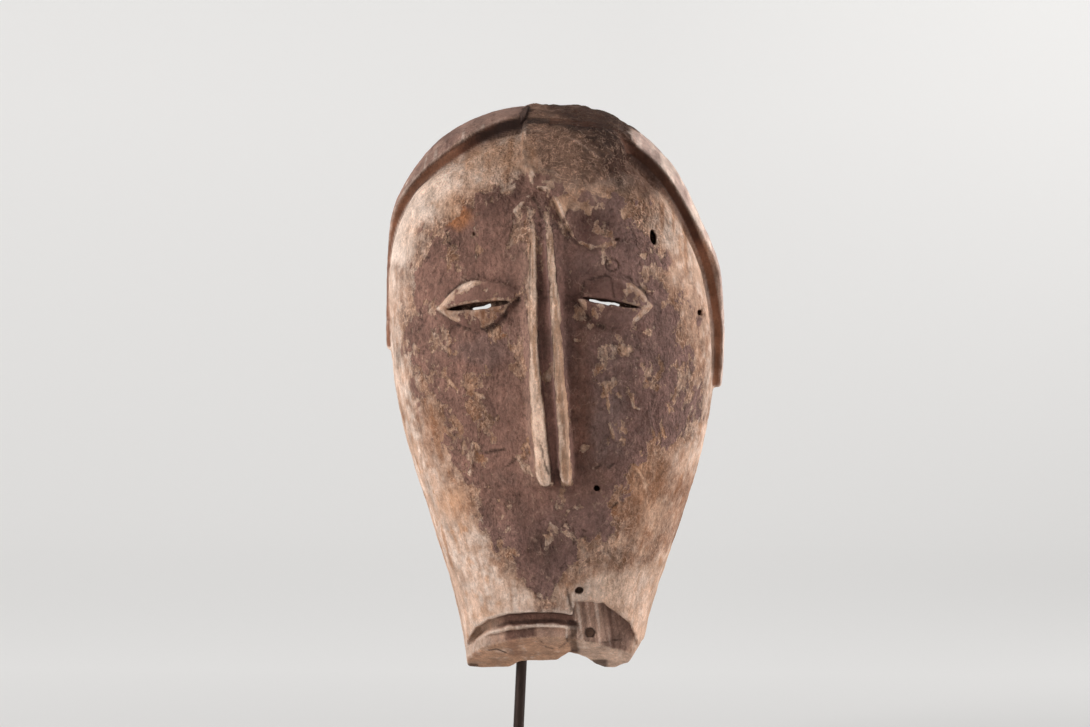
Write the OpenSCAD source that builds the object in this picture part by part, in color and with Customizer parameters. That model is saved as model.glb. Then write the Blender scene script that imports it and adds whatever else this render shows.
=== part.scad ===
// Carved wooden face mask with a raised coif, on a turning steel display stand.
// Millimetres, +Z up, the face looks along -Y. The origin is the middle of the base's underside.
// Mask sections are worked out from the mask's own point: rim plane, midline, foot of the chin.

/* [Mask outline] */
// Half width of the face at its widest level
face_half_w = 121.5; // [90:0.5:140]
// Height of the widest level above the foot of the chin
wide_z = 250; // [220:1:290]
// Rise of the bare face from the widest level to the crown
crown_h = 162; // [130:1:180]
// Roundness of the crown outline, 2 is an ellipse
crown_n = 2.35; // [2:0.05:3]
// Sideways lean of the crown
crown_shift = -7; // [-12:0.5:12]
// How far below its widest level the face starts to lean
lean_drop = 25; // [0:1:60]
// Height over which the face leans
lean_rise = 110; // [80:1:150]
// Sideways bulge of the jaw
jaw_shift = 2; // [-4:0.5:4]
// Half width at the foot of the chin
chin_half_w = 65; // [50:0.5:80]
// How slowly the jaw flares out above the chin
flare_n = 1.6; // [1:0.05:1.8]

/* [Mask depth] */
// Depth of the face at its widest level, rim to front
face_depth = 108; // [85:1:130]
// Depth of the chin
chin_depth = 62; // [45:1:80]
// Fullness of a level section, 2 is an ellipse
section_n = 2.2; // [2:0.05:3]
// Fullness of the forehead seen from the side
brow_n = 2.35; // [2:0.05:3]

/* [Hollow] */
// Wall thickness at the sides and crown
wall = 14; // [9:0.5:20]
// Extra wood behind the front of the face
front_extra = 6; // [0:0.5:15]
// Height of the hollow's floor above the foot of the chin
hollow_z = 64; // [50:1:90]
// Height over which the hollow's floor is rounded
floor_round = 46; // [20:1:70]

/* [Coif] */
// How far the coif stands out from the face at the sides
coif_t = 6; // [4:0.5:12]
// How far the coif stands up from the face at the crown
coif_rise = 9; // [4:0.5:14]
// Depth of the coif band at its lower ends
coif_end_depth = 16; // [8:0.5:25]
// Depth of the coif band over the crown
coif_top_depth = 57; // [30:0.5:75]
// Lower end of the coif at the left
coif_left_z = 240; // [180:1:300]
// Lower end of the coif at the right
coif_right_z = 211; // [180:1:300]
// Level at which the left edge starts to sweep forwards
sweep_left_z = 314; // [220:1:340]
// Level at which the right edge starts to sweep forwards
sweep_right_z = 308; // [190:1:340]
// Level at which both edges have reached the crown's depth
sweep_top_z = 387; // [345:1:400]
// How far above the widest level the coif starts to lean
coif_lean_z = 42; // [10:1:60]
// Height over which the coif leans
coif_lean_rise = 60; // [40:1:120]
// Left edge of the worn stretch of the crown
worn_left_x = -20; // [-50:1:-5]
// Right edge of the worn stretch of the crown
worn_right_x = 52; // [5:1:70]
// Distance in front of the rim plane at which the worn stretch starts
worn_start = 12; // [6:0.5:20]
// Fall of the worn stretch, degrees
worn_slope = 27; // [15:1:40]

/* [Nose] */
// Level of the nose's upper end
nose_top_z = 350; // [320:1:370]
// Level of the nose's tip
nose_tip_z = 142; // [110:1:170]
// Midline of the nose at its upper end
nose_top_x = -6.5; // [-12:0.5:12]
// Midline of the nose at its tip
nose_tip_x = 8; // [-12:0.5:12]
// Distance between the two ribs at the upper end
rib_gap_top = 7.5; // [6:0.5:14]
// Distance between the two ribs at the tip
rib_gap_tip = 15; // [10:0.5:26]
// Width of a rib at the upper end
rib_w_top = 3; // [2:0.5:6]
// Width of a rib at the tip
rib_w_tip = 9.5; // [5:0.5:12]
// How far the tip stands out from the face
nose_h = 17; // [8:0.5:26]
// Depth of the groove between the ribs
groove_d = 4.5; // [1:0.5:7]

/* [Eyes] */
// Level of the eyes
eye_z = 271.5; // [240:0.5:300]
// Distance of each eye from the midline
eye_x = 49; // [38:0.5:60]
// Length of the raised lids
lid_l = 60; // [44:1:74]
// Height of the raised lids
lid_h = 38; // [24:1:48]
// How far the lids stand out
lid_t = 4; // [2:0.5:8]
// Length of the slit
slit_l = 44; // [30:1:52]
// Widest opening of the slit
slit_h = 4; // [2:0.25:4]
// Slant of each eye, outer end down, degrees
eye_slant = 8; // [0:0.5:14]

/* [Chin] */
// Slope of the cut under the chin, degrees
chin_slope = 27; // [10:1:35]
// Level of the upper lip's edge
lip_z = 49; // [40:0.5:58]
// Depth of the step under the upper lip
lip_d = 5; // [2:0.5:9]
// Height of the mouth groove under the upper lip
mouth_h = 9; // [4:0.5:14]
// Extra depth of the mouth groove
mouth_d = 4; // [1:0.5:8]
// Left end of the broken lip, from the midline
break_x = 19; // [8:0.5:24]
// Level of the break's upper edge
break_z = 58; // [50:0.5:66]
// Depth of the break
break_d = 11; // [6:0.5:16]
// Diameter of the peg left in the break
peg_d = 6; // [4:0.25:8]
// Length of the peg
peg_l = 20; // [12:0.5:28]
// Peg's distance from the midline
peg_x = 29; // [24:0.5:40]
// Level of the peg
peg_z = 32; // [29:0.5:38]

/* [Stand] */
// Length of the base block
base_l = 150; // [110:1:200]
// Width of the base block
base_w = 124; // [90:1:180]
// Thickness of the base block
base_t = 18; // [14:0.5:30]
// Corner radius of the base block
base_r = 6; // [3:0.5:12]
// Thickness of the felt under the base
felt_t = 2; // [1:0.25:4]
// Distance of the post behind the middle of the base
post_back = 26; // [10:0.5:34]
// Diameter of the post
post_d = 8; // [6:0.25:10]
// Sideways lean of the post, degrees
post_lean = 2.7; // [1:0.1:4]
// Distance of the mask's midline from the post's foot
mask_x = 27; // [15:0.5:35]
// Height of the foot of the chin above the base
chin_above_base = 52; // [45:1:120]
// Bend radius at the head of the post
crook_r = 12; // [9:0.5:16]
// Straight run of the crook into the hollow
crook_run = 20; // [12:0.5:26]
// Diameter of the cross bar
bar_d = 6; // [4:0.25:8]
// Level of the cross bar above the foot of the chin
bar_z = 206; // [150:1:240]
// Wall of the soft sleeves and caps
sleeve_t = 1.5; // [1:0.1:2.5]
// Length of the sleeve behind the chin
chin_sleeve_l = 30; // [16:1:40]

/* [Hidden] */
$fn = 64;

// Clearances: a turning fit, a soft seat against curved wood, a flat seat, and a pushed-on sleeve.
turn_gap = 0.05;
dome_gap = 0.5;
seat_gap = 0.3;
sleeve_gap = 0.05;
past = 3;                      // how far a cut runs past the face it opens
post_r = post_d / 2;
bar_r = bar_d / 2;
sleeve_r = post_r + sleeve_t;

// Where the mask stands.
base_top = felt_t + base_t;
seat_floor = felt_t + base_t / 5;           // floor of the post's socket
bend_z = base_top + post_d;                 // where the post starts to lean
mask_y = post_back - sleeve_r - seat_gap;   // rim plane
mask_z = base_top + chin_above_base;        // foot of the chin

// Smooth step from 0 to 1.
function ease(t) = let (c = min(1, max(0, t))) c * c * (3 - 2 * c);
// Height of a rounded quarter outline of exponent n at t from 0 to 1.
function round_off(t, n) = pow(max(0, 1 - pow(min(1, abs(t)), n)), 1 / n);
// Rise of the jaw line from 0 at the chin to 1 at the widest level.
function flare(z) = pow(sin(90 * min(1, max(0, z / wide_z))), flare_n);

// Midline of the mask at level z, leaning over a rise from low.
lean_low = wide_z - lean_drop;
function jaw(z) = jaw_shift * ease(2 * z / wide_z) * (1 - ease(2 * z / wide_z - 1));
function mid_x(z, low = lean_low, rise = lean_rise) = jaw(z) + crown_shift * ease((z - low) / rise);

// Half width and depth of the mask at level z, grown outwards by g and upwards by r.
function half_w(z, g, r) = z > wide_z
    ? (face_half_w + g) * round_off((z - wide_z) / (crown_h + r), crown_n)
    : chin_half_w + (face_half_w - chin_half_w) * flare(z) + g;
function front(z, g, r) = z > wide_z
    ? (face_depth + g) * round_off((z - wide_z) / (crown_h + r), brow_n)
    : chin_depth + (face_depth - chin_depth) * flare(z) + g;

// Levels of a form from low to its crown: jaw levels are even, crown levels crowd to the top.
jaw_steps = 20;
crown_steps = 14;
crown_stop = 87;               // the crown is cut flat just short of its peak, degrees
function levels(low, r) = concat(
    [for (i = [0 : jaw_steps]) low + (wide_z - low) * i / jaw_steps],
    [for (i = [1 : crown_steps])
        wide_z + (crown_h + r) * pow(sin(crown_stop * i / crown_steps), 2 / crown_n)]);

// One level section about a midline: round the front from the right rim to the left rim, then on by extra points.
arc_steps = 36;
function swell(c) = sign(c) * pow(abs(c), 2 / section_n);
function section(mid, z, w, d, extra = []) = concat(
    [for (i = [0 : arc_steps]) let (a = 180 * i / arc_steps)
        [mid + w * swell(cos(a)), -d * swell(sin(a)), z]],
    [for (p = extra) [mid + p[0], p[1], z]]);

// A solid skinned over level sections, lowest first.
module skinned(rings) {
    n = len(rings[0]);
    top = len(rings) - 1;
    polyhedron(
        points = [for (r = rings) each r],
        faces = concat(
            [[for (i = [n - 1 : -1 : 0]) i]],
            [for (k = [0 : top - 1], i = [0 : n - 1]) let (j = (i + 1) % n)
                let (a = k * n + i, b = k * n + j)
                each [[a, b + n, a + n], [a, b, b + n]]],
            [[for (i = [0 : n - 1]) top * n + i]]));
}

// The whole head form, grown outwards by g and upwards by r, leaning over a rise from low.
module head_form(g, r, low = lean_low, rise = lean_rise) {
    skinned([for (z = levels(0, r)) section(mid_x(z, low, rise), z, half_w(z, g, r), front(z, g, r))]);
}

// Share of the hollow's size left at level z, rounding its floor.
function floor_share(z) = round_off(max(0, hollow_z + floor_round - z) / floor_round, 2);
hollow_low = hollow_z + floor_round / 40;   // the floor is cut flat just above its lowest point

// The hollow that takes the wearer's face, open at the rim plane.
module hollow() {
    skinned([for (z = levels(hollow_low, -wall)) let (
            w = half_w(z, -wall, -wall) * floor_share(z),
            d = (front(z, -wall, -wall) - front_extra) * floor_share(z))
        section(mid_x(z), z, w, d, [[-w, past], [w, past]])]);
}

// Level of the hollow's ceiling over the point x, y, found by halving.
function inside(x, y, z) =
    let (w = half_w(z, -wall, -wall), d = front(z, -wall, -wall) - front_extra)
    w > 0 && d > 0 && pow(abs(x - mid_x(z)) / w, section_n) + pow(abs(y) / d, section_n) < 1;
function ceiling(x, y, low = wide_z, high = wide_z + crown_h, n = 30) =
    n == 0 ? low : let (z = (low + high) / 2)
    inside(x, y, z) ? ceiling(x, y, z, high, n - 1) : ceiling(x, y, low, z, n - 1);

// A prism along Y from an outline in X and Z, through the whole depth of the mask.
module through() {
    reach = face_depth + nose_h + past;
    translate([0, past, 0]) rotate([90, 0, 0]) linear_extrude(reach + 2 * past) children();
}

// An almond in X and Z.
module almond(length, height) {
    r = (length * length / height + height) / 4;
    intersection() {
        translate([0, height / 2 - r]) circle(r);
        translate([0, r - height / 2]) circle(r);
    }
}

// Places its children at both eyes, outer ends down.
module at_eyes() {
    for (side = [-1, 1]) translate([side * eye_x, eye_z]) rotate(-side * eye_slant) children();
}

// The coif: a thicker band of the head form behind its front edge, which sweeps forwards as it climbs.
coif_top = wide_z + crown_h + coif_rise;
coif_steps = 16;
module coif_side(side, low, sweep_z) {
    function edge(z) = -coif_end_depth
        - (coif_top_depth - coif_end_depth) * ease((z - sweep_z) / (sweep_top_z - sweep_z));
    rotate([90, 0, 90]) translate([0, 0, side < 0 ? -2 * face_half_w : 0]) linear_extrude(2 * face_half_w)
        polygon(concat([[past, coif_top + past], [past, low]],
            [for (i = [0 : coif_steps]) let (z = low + (coif_top + past - low) * i / coif_steps)
                [edge(z), z]]));
}
module coif() {
    difference() {
        intersection() {
            head_form(coif_t, coif_rise, wide_z + coif_lean_z, coif_lean_rise);
            union() {
                coif_side(-1, coif_left_z, sweep_left_z);
                coif_side(1, coif_right_z, sweep_right_z);
            }
        }
        worn_crown();
    }
}

// The stretch of crown where the coif's edge has worn into a slope.
module worn_crown() {
    size = face_depth + crown_h;
    translate([worn_left_x, -worn_start, coif_top]) rotate([worn_slope, 0, 0])
        translate([0, -size, 0]) cube([worn_right_x - worn_left_x, size, size]);
}

// The nose: two ribs on a tapering bridge, standing further out towards the tip.
nose_steps = 6;
function nose_z(t) = nose_top_z + (nose_tip_z - nose_top_z) * t;
function nose_x(t) = nose_top_x + (nose_tip_x - nose_top_x) * t;
function rib_gap(t) = rib_gap_top + (rib_gap_tip - rib_gap_top) * round_off(1 - t, 2);
function rib_w(t) = rib_w_top + (rib_w_tip - rib_w_top) * t;
function nose_y(t) = -front(nose_z(t), 0, 0) - nose_h * pow(t, 0.7);
module nose() {
    root = nose_h + rib_w_tip;     // how deep the nose is rooted in the face
    module bridge_slice(t) {
        translate([nose_x(t) - rib_gap(t) / 2, nose_y(t) + groove_d * ease(2 * t), nose_z(t)])
            cube([rib_gap(t), root, 0.1]);
    }
    module rib_slice(t, side) {
        w = rib_w(t);
        translate([nose_x(t) + side * rib_gap(t) / 2 - w / 2, nose_y(t), nose_z(t)]) {
            translate([w / 4, 0, 0]) cube([w / 2, root, 0.1]);
            translate([0, w / 4, 0]) cube([w, root, 0.1]);
        }
    }
    for (i = [0 : nose_steps - 1]) {
        a = i / nose_steps;
        b = (i + 1) / nose_steps;
        hull() {
            bridge_slice(a);
            bridge_slice(b);
        }
        for (side = [-1, 1]) hull() {
            rib_slice(a, side);
            rib_slice(b, side);
        }
    }
}

// The raised lids: the head form grown out in two steps within an almond.
module lids() {
    for (share = [0.5, 1]) intersection() {
        head_form(lid_t * share, lid_t * share);
        through() at_eyes() almond(lid_l * (1.15 - 0.3 * share), lid_h * (1.15 - 0.3 * share));
    }
}

// Wood taken off the front of the chin to depth d, inside an outline in X and Z.
module skin_cut(d) {
    difference() {
        through() children();
        head_form(-d, -d);
    }
}

// Outline of the lip's edge from its left end to the break, lowered by drop.
lip_half = chin_half_w - 1.6 * lip_d;
function lip_line(drop) = concat(
    [for (i = [0 : 8]) let (a = 180 - 11 * i) [lip_half * cos(a), (lip_z - drop) * pow(sin(a), 0.6)]],
    [[break_x + 1, lip_z - drop]]);

// The step and groove under the upper lip, the break to its right, and the slanted cut under the chin.
module chin_cuts() {
    reach = 2 * chin_half_w;
    skin_cut(lip_d) polygon(concat(lip_line(0), [[break_x + 1, -past], [-lip_half, -past]]));
    skin_cut(lip_d + mouth_d) polygon(concat(lip_line(0), [for (i = [9 : -1 : 1]) lip_line(mouth_h)[i]]));
    skin_cut(break_d) polygon([[break_x, break_z], [break_x + 1.6 * wall, break_z - 2],
        [break_x + 1.6 * wall, -past], [break_x, -past]]);
    skin_cut(lip_d) polygon([[break_x + 1.6 * wall - 1, break_z - 2], [chin_half_w + past, lip_z / 3],
        [chin_half_w + past, -past], [break_x + 1.6 * wall - 1, -past]]);
    rotate([-chin_slope, 0, 0]) translate([-reach, -3 * chin_depth, -3 * chin_depth])
        cube([2 * reach, 3 * chin_depth + past, 3 * chin_depth]);
    skin_cut(3 * break_d) polygon([[break_x - 3, -past], [break_x, peg_z - peg_d],
        [break_x + wall / 3, peg_z - peg_d], [break_x + wall, -past]]);
}

// Front of the wood behind the break, where the peg comes out.
peg_face = -front(peg_z, -break_d, 0) * round_off(peg_x / half_w(peg_z, -break_d, 0), section_n);
module peg_hole(r, front_y, back_y) {
    translate([peg_x, back_y, peg_z]) rotate([90, 0, 0]) cylinder(r = r, h = back_y - front_y, $fn = 24);
}

// The mask, one carved block of wood.
module carved_mask() {
    color("#8a6a57") translate([mask_x, mask_y, mask_z]) difference() {
        union() {
            head_form(0, 0);
            coif();
            nose();
            lids();
        }
        hollow();
        through() at_eyes() almond(slit_l, slit_h);
        chin_cuts();
        peg_hole(peg_d / 2 + 2 * turn_gap, -face_depth, peg_face + peg_l);
    }
}

// A stub of dowel left in the broken lip.
module lip_peg() {
    color("#4a3328") translate([mask_x, mask_y, mask_z])
        translate([peg_x, peg_face + peg_l - turn_gap, peg_z]) rotate([90, 0, 0])
            cylinder(d = peg_d, h = peg_l);
}

// Centre of the leaning post at world height z.
function post_x(z) = (z - bend_z) * tan(post_lean);

// Height of the crook's centre line: its sleeve sits just under the hollow's ceiling.
crook_end_y = post_back - crook_r - crook_run;
crook_z = mask_z + min([for (dx = [-0.8, -0.4, 0, 0.4, 0.8], dy = [-0.55, -0.3, 0])
    ceiling(post_x(mask_z + wide_z + crown_h - wall) + dx * sleeve_r - mask_x,
            crook_end_y + dy * sleeve_r - mask_y) - sleeve_r * sqrt(1 - dx * dx - dy * dy)]) - dome_gap;
crook_x = post_x(crook_z);
lean_l = (crook_z - bend_z) / cos(post_lean) - crook_r;

// The post: a bent steel rod that drops into the base and turns there.
foot_bend = 5 * post_d;                     // bend radius where the lean starts
foot_tangent = foot_bend * tan(post_lean / 2);
bend_swell = 0.03;                          // a bend is this much fuller than the straight rod
lap = 0.5;                                  // how far a straight runs on into a bend
module post() {
    foot_l = bend_z - foot_tangent - seat_floor - seat_gap;
    color("#2b2320") union() {
        translate([0, post_back, seat_floor + seat_gap]) cylinder(r = post_r, h = foot_l + lap);
        translate([foot_bend, post_back, bend_z - foot_tangent]) rotate([90, 0, 180])
            rotate_extrude(angle = post_lean) translate([foot_bend, 0]) circle(post_r + bend_swell);
        translate([0, post_back, bend_z]) rotate([0, post_lean, 0]) {
            translate([0, 0, foot_tangent - lap]) cylinder(r = post_r, h = lean_l - foot_tangent + 2 * lap);
            translate([0, -crook_r, lean_l]) rotate([90, 0, 90])
                rotate_extrude(angle = 90) translate([crook_r, 0]) circle(post_r + bend_swell);
            translate([0, lap - crook_r, lean_l + crook_r]) rotate([90, 0, 0])
                cylinder(r = post_r, h = crook_run + lap);
        }
    }
}

// Soft sleeve over the crook, with a round end, that the mask hangs on.
module crook_sleeve() {
    color("#1d1b1a") difference() {
        translate([crook_x, crook_end_y, crook_z]) {
            rotate([-90, 0, 0]) cylinder(r = sleeve_r, h = crook_run - sleeve_gap);
            sphere(sleeve_r);
        }
        translate([crook_x, crook_end_y - sleeve_gap, crook_z]) rotate([-90, 0, 0])
            cylinder(r = post_r + sleeve_gap, h = crook_run + past);
    }
}

// Soft sleeve round the post where the back of the chin leans on it.
module chin_sleeve() {
    low = mask_z + chin_sleeve_l / 4;
    color("#1d1b1a") translate([post_x(low), post_back, low]) rotate([0, post_lean, 0]) difference() {
        cylinder(r = sleeve_r, h = chin_sleeve_l);
        translate([0, 0, -past]) cylinder(r = post_r + sleeve_gap, h = chin_sleeve_l + 2 * past);
    }
}

// The cross bar behind the post, its ends bent forwards to the mask's rim.
bar_y = post_back + post_r + bar_r * 0.7;
bar_bend = bar_d * 1.2;
cap_y = mask_y + seat_gap;                  // front of the soft caps
rest_z = mask_z + bar_z;
function rest_x(side) = mask_x + mid_x(bar_z) + side * (half_w(bar_z, 0, 0) - wall / 2);
module bar_end(side) {
    translate([rest_x(side), bar_y - bar_bend, rest_z]) {
        translate([0, lap, 0]) rotate([90, 0, 0])
            cylinder(r = bar_r, h = bar_y - bar_bend - cap_y - sleeve_t + lap);
        translate([-side * bar_bend, 0, 0]) rotate([0, 0, side > 0 ? 0 : 90])
            rotate_extrude(angle = 90) translate([bar_bend, 0]) circle(bar_r + bend_swell);
    }
}
module cross_bar() {
    color("#2b2320") difference() {
        union() {
            translate([rest_x(-1) + bar_bend - lap, bar_y, rest_z]) rotate([0, 90, 0])
                cylinder(r = bar_r, h = rest_x(1) - rest_x(-1) - 2 * bar_bend + 2 * lap);
            for (side = [-1, 1]) bar_end(side);
        }
        translate([0, post_back, bend_z]) rotate([0, post_lean, 0]) cylinder(r = post_r, h = lean_l);
    }
}

// Soft cap on one end of the cross bar, against the back of the rim.
module rim_cap(side) {
    cap_l = bar_y - bar_bend - cap_y;
    color("#1d1b1a") translate([rest_x(side), cap_y + cap_l, rest_z]) rotate([90, 0, 0]) difference() {
        cylinder(r = bar_r + sleeve_t, h = cap_l);
        translate([0, 0, -past]) cylinder(r = bar_r + sleeve_gap, h = cap_l - sleeve_t + past + sleeve_gap);
    }
}

// The painted steel base block, with the socket that the post turns in.
module base_block() {
    chamfer = 1.2;
    color("#e4e2dd") difference() {
        hull() for (x = [-1, 1], y = [-1, 1])
            translate([x * (base_l / 2 - base_r), y * (base_w / 2 - base_r), felt_t]) {
                cylinder(r = base_r, h = base_t - chamfer, $fn = 32);
                cylinder(r = base_r - chamfer, h = base_t, $fn = 32);
            }
        translate([0, post_back, seat_floor]) cylinder(r = post_r + turn_gap, h = base_t + past);
    }
}

// Felt glued under the base.
module base_felt() {
    inset = base_r / 2;
    color("#55524e") translate([inset - base_l / 2, inset - base_w / 2, 0])
        cube([base_l - 2 * inset, base_w - 2 * inset, felt_t]);
}

carved_mask();
lip_peg();
post();
cross_bar();
crook_sleeve();
chin_sleeve();
rim_cap(-1);  // rim_cap_left
rim_cap(1);  // rim_cap_right
base_block();
base_felt();
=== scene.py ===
"""Carved wooden mask on its display stand: the looks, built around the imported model."""
import math

import bpy
import numpy as np
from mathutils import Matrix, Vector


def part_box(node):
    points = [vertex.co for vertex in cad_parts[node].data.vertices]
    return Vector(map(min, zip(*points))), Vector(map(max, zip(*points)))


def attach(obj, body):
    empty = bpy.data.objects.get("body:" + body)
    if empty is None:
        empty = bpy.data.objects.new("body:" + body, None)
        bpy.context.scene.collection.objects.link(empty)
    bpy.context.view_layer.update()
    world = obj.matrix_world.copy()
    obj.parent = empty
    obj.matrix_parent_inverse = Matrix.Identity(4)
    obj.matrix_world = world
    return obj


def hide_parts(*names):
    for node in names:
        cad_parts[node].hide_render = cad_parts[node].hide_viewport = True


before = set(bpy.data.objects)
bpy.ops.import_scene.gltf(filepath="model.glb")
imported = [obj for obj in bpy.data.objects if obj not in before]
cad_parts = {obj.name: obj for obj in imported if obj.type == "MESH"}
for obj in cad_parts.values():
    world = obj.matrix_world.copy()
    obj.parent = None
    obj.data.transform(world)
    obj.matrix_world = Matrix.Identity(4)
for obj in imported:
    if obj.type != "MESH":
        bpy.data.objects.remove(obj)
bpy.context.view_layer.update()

import openvdb
from mathutils import Vector

MM = 0.001

# Where the mask stands: midline, rim plane and foot of the chin, in metres.
mask_low, mask_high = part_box("carved_mask")
MASK_AT = np.array([(mask_low.x + mask_high.x) / 2, mask_high.y, mask_low.z])

# Sizes of the mask, in millimetres from that point. The face looks along -Y.
FACE_HALF_W = 121.5
WIDE_Z = 250
CROWN_H = 162
CROWN_SHIFT = -7
LEAN_LOW = 225
LEAN_RISE = 110
JAW_SHIFT = 2
CHIN_HALF_W = 65
FLARE = 1.6
FACE_DEPTH = 108
CHIN_DEPTH = 62
SECTION_N = 2.2
CROWN_N = 2.35
WALL = 14
FRONT_EXTRA = 6
HOLLOW_Z = 64
FLOOR_ROUND = 46
COIF_T = 6
COIF_RISE = 9
COIF_LEAN_LOW = 292
COIF_LEAN_RISE = 60
CHANNEL_D = 3
COVE_R = 3
COIF_END_DEPTH = 16
COIF_TOP_DEPTH = 57
COIF_LEFT_Z = 240
COIF_RIGHT_Z = 211
SWEEP_LEFT_Z = 314
SWEEP_TOP_Z = 387
WORN_LEFT_X = -20
WORN_RIGHT_X = 52
WORN_START = 14
WORN_SLOPE = 34
WORN_REACH = 15
NOSE_TOP_Z = 350
NOSE_TIP_Z = 142
NOSE_H = 17
GROOVE_D = 4.5
LID_T = 4
CHIN_SLOPE = 27
LIP_D = 5
MOUTH_D = 4
BAND_D = 4
BREAK_D = 11
NOTCH_D = 7
PEG_X = 29
PEG_Z = 32
PEG_R = 3.1
PEG_GAP = 0.1
SLIT_D = 2.5
RIM_R = 2.5
CUT_R = 1.5

# Where the coif's worn front edge stands at the right: level, then distance in front of the rim plane.
RIGHT_EDGE = ((296, 16), (306, 21), (320, 30), (334, 36), (346, 39), (364, 42), (382, 48), (395, 50))

# The nose from top to tip: level, then the outer and inner edge of its left and of its right rib.
NOSE_COURSE = ((350, -10, -8.5, -5, -3.5), (335, -10.5, -8.4, -1.8, 1.6), (318, -9.8, -6.6, 0.8, 5.4),
               (272, -10.2, -5.3, 4.2, 9.8), (225, -9.6, -3.4, 6.8, 12.9), (179, -7.9, 1.5, 10, 16.4),
               (143, -4.3, 4.8, 10.8, 18.8))

# Each eye: middle, half length, slant in degrees, height of the lid above and below, how far it is worn, its
# slit, and the middle and half length of the holes in the slit.
EYES = (
    dict(at=(-48.5, 273.3), half=32.5, slant=10, above=15.5, below=21, worn=1.1,
         slit_at=(-48, 269.4), slit_half=23, slit_tall=2.1, slit_slant=6.5,
         holes=(((-47, 268.3), 7.5), ((-42, 269.4), 3))),
    dict(at=(50, 271.5), half=28, slant=-4, above=19.5, below=19.5, worn=0.6,
         slit_at=(47, 271.4), slit_half=20.5, slit_tall=1.6, slit_slant=-10,
         holes=(((38, 272.2), 8.2), ((49.5, 270.8), 3))),
)
# A small ring over the right eye.
RING_AT = (47, 298.4)
RING_R = 4.5

# Outlines along the chin, as level over x.
LIP_LINE = ((-66, 14), (-60, 27), (-55, 34.5), (-45, 42), (-30, 47), (-14, 48.7), (3, 49.4), (15, 47.5),
            (20, 47))
BREAK_LINE = ((19, 57), (25, 57.5), (34, 55.5), (39, 56.5), (43, 52.5), (51, 46), (58, 39), (61, 31),
              (62.5, 24), (66, 16))
FOOT_LINE = ((-64, -3), (-52, -1), (-45, 0), (-34, 1), (-26, 6), (-18, 7.5), (3, 7.5), (9, 12), (13, 15),
             (20, 13), (27, 9), (31, 5), (38, 2), (46, 1.5), (56, 6), (62, 16), (66, 22))

# Small holes and pits left by age and use: x, level, half width, half height, slant in degrees, and depth
# below the plain face, less than 0 where a pit ends within the relief above it.
HOLES = (
    (75.8, 319, 2.2, 5.4, 12, 11), (108.7, 265.8, 1.5, 2.6, 0, 4), (36, 139.4, 2.0, 2.0, 0, 11),
    (22.1, 64.4, 3.4, 2.8, 20, 11), (-11.6, 350, 2.2, 1.5, 20, -2.6), (-3.8, 353, 3.4, 1.2, -15, -3.0),
    (-51.6, 321, 1.5, 1.3, 0, 2.4), (50.5, 316.6, 1.8, 1.3, 30, 1.5),
)
# Lower border of the crust at the crown, as level over x.
CRUST_LINE = ((-18, 396), (-9, 383), (-4, 366), (8, 355), (30, 353), (46, 357), (57, 356), (66, 360),
              (72, 378))
# Edge of a lifted flake on the forehead.
FLAKE_EDGE = ((2.6, 352), (8.6, 341), (14, 330), (18, 321), (24, 314.5), (33, 311), (45, 312.5), (52, 317))
# Small raised folds round the top of the nose.
FOLDS = (
    ((-10, 350), (-16, 344), (-22, 337)),
    ((-6, 354), (2, 352), (9, 344), (13, 333)),
    ((-19, 385), (-15, 374), (-11, 364)),
    ((-19, 372), (-12, 366), (-10, 357)),
)
# Fine dark cracks of the face.
CRACKS = (
    ((-9.4, 347), (-4.9, 340), (-3.6, 333)),
    ((25.5, 275.5), (27.5, 287), (43, 291), (46.5, 289), (48.6, 275.6)),
    ((14, 66), (15, 58), (17, 50)),
    ((-2, 170), (0, 158), (3, 150)),
    ((44, 154), (48.5, 157)),
    ((35.5, 153.5), (38.5, 156)),
    ((45, 124), (50, 128)),
    ((14, 115), (15.3, 112)),
    ((18.7, 110), (19, 99)),
    ((25.5, 109), (27.5, 108)),
    ((-43, 164.5), (-36, 166.5), (-30, 167)),
    ((-27, 155.5), (-22, 160.5)),
)
# Pale scratches and edges of flakes on the cheeks.
SCRATCHES = (
    ((-48, 181), (-52, 165), (-56, 149)),
    ((-51, 180), (-54, 168), (-56, 160)),
    ((45.2, 185.5), (49.2, 173.2), (55.5, 174)),
    ((82, 198), (81.2, 185), (83.7, 176)),
    ((73.3, 193.4), (76.6, 177.7)),
    ((64, 154), (68.8, 146)),
    ((42.7, 212), (45.3, 193.4)),
    ((61, 206), (62, 198), (66, 196)),
    ((-60, 205), (-52, 208), (-44, 204)),
    ((-70, 216), (-64, 210), (-62, 200)),
)
# On the chin: cracks in the end cut, and the pale edge of a square chip under the ridge.
CHIN_CRACKS = (
    ((19.5, 56), (17.5, 48), (18.5, 40)),
    ((-8, 28), (-3, 20), (2, 19)),
    ((13, 30), (12, 24), (6, 19.5)),
    ((-46, 17), (-40, 18.5), (-34, 15)),
    ((26, 26), (40, 24), (52, 26)),
)
CHIP_FRAME = ((-9, 38.5), (12.5, 37), (12.5, 29))


def ease(t):
    """Smooth step from 0 to 1."""
    c = np.clip(t, 0, 1)
    return c * c * (3 - 2 * c)


def smooth_max(a, b, r):
    """The larger of two distances, with the corner rounded over r."""
    h = np.maximum(r - np.abs(a - b), 0) / r
    return np.maximum(a, b) + h * h * r / 4


def smooth_min(a, b, r):
    """The smaller of two distances, with the corner filled over r."""
    return -smooth_max(-a, -b, r)


# Noise

def lattice(i, j, k, seed):
    """A repeatable value from 0 to 1 at each whole point."""
    h = (i * 374761393 + j * 668265263 + k * 1440662683 + seed * 974634777) & 0xFFFFFFFF
    h = ((h ^ (h >> 13)) * 1274126177) & 0xFFFFFFFF
    return ((h ^ (h >> 16)) & 0xFFFFFF) / 0xFFFFFF


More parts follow.
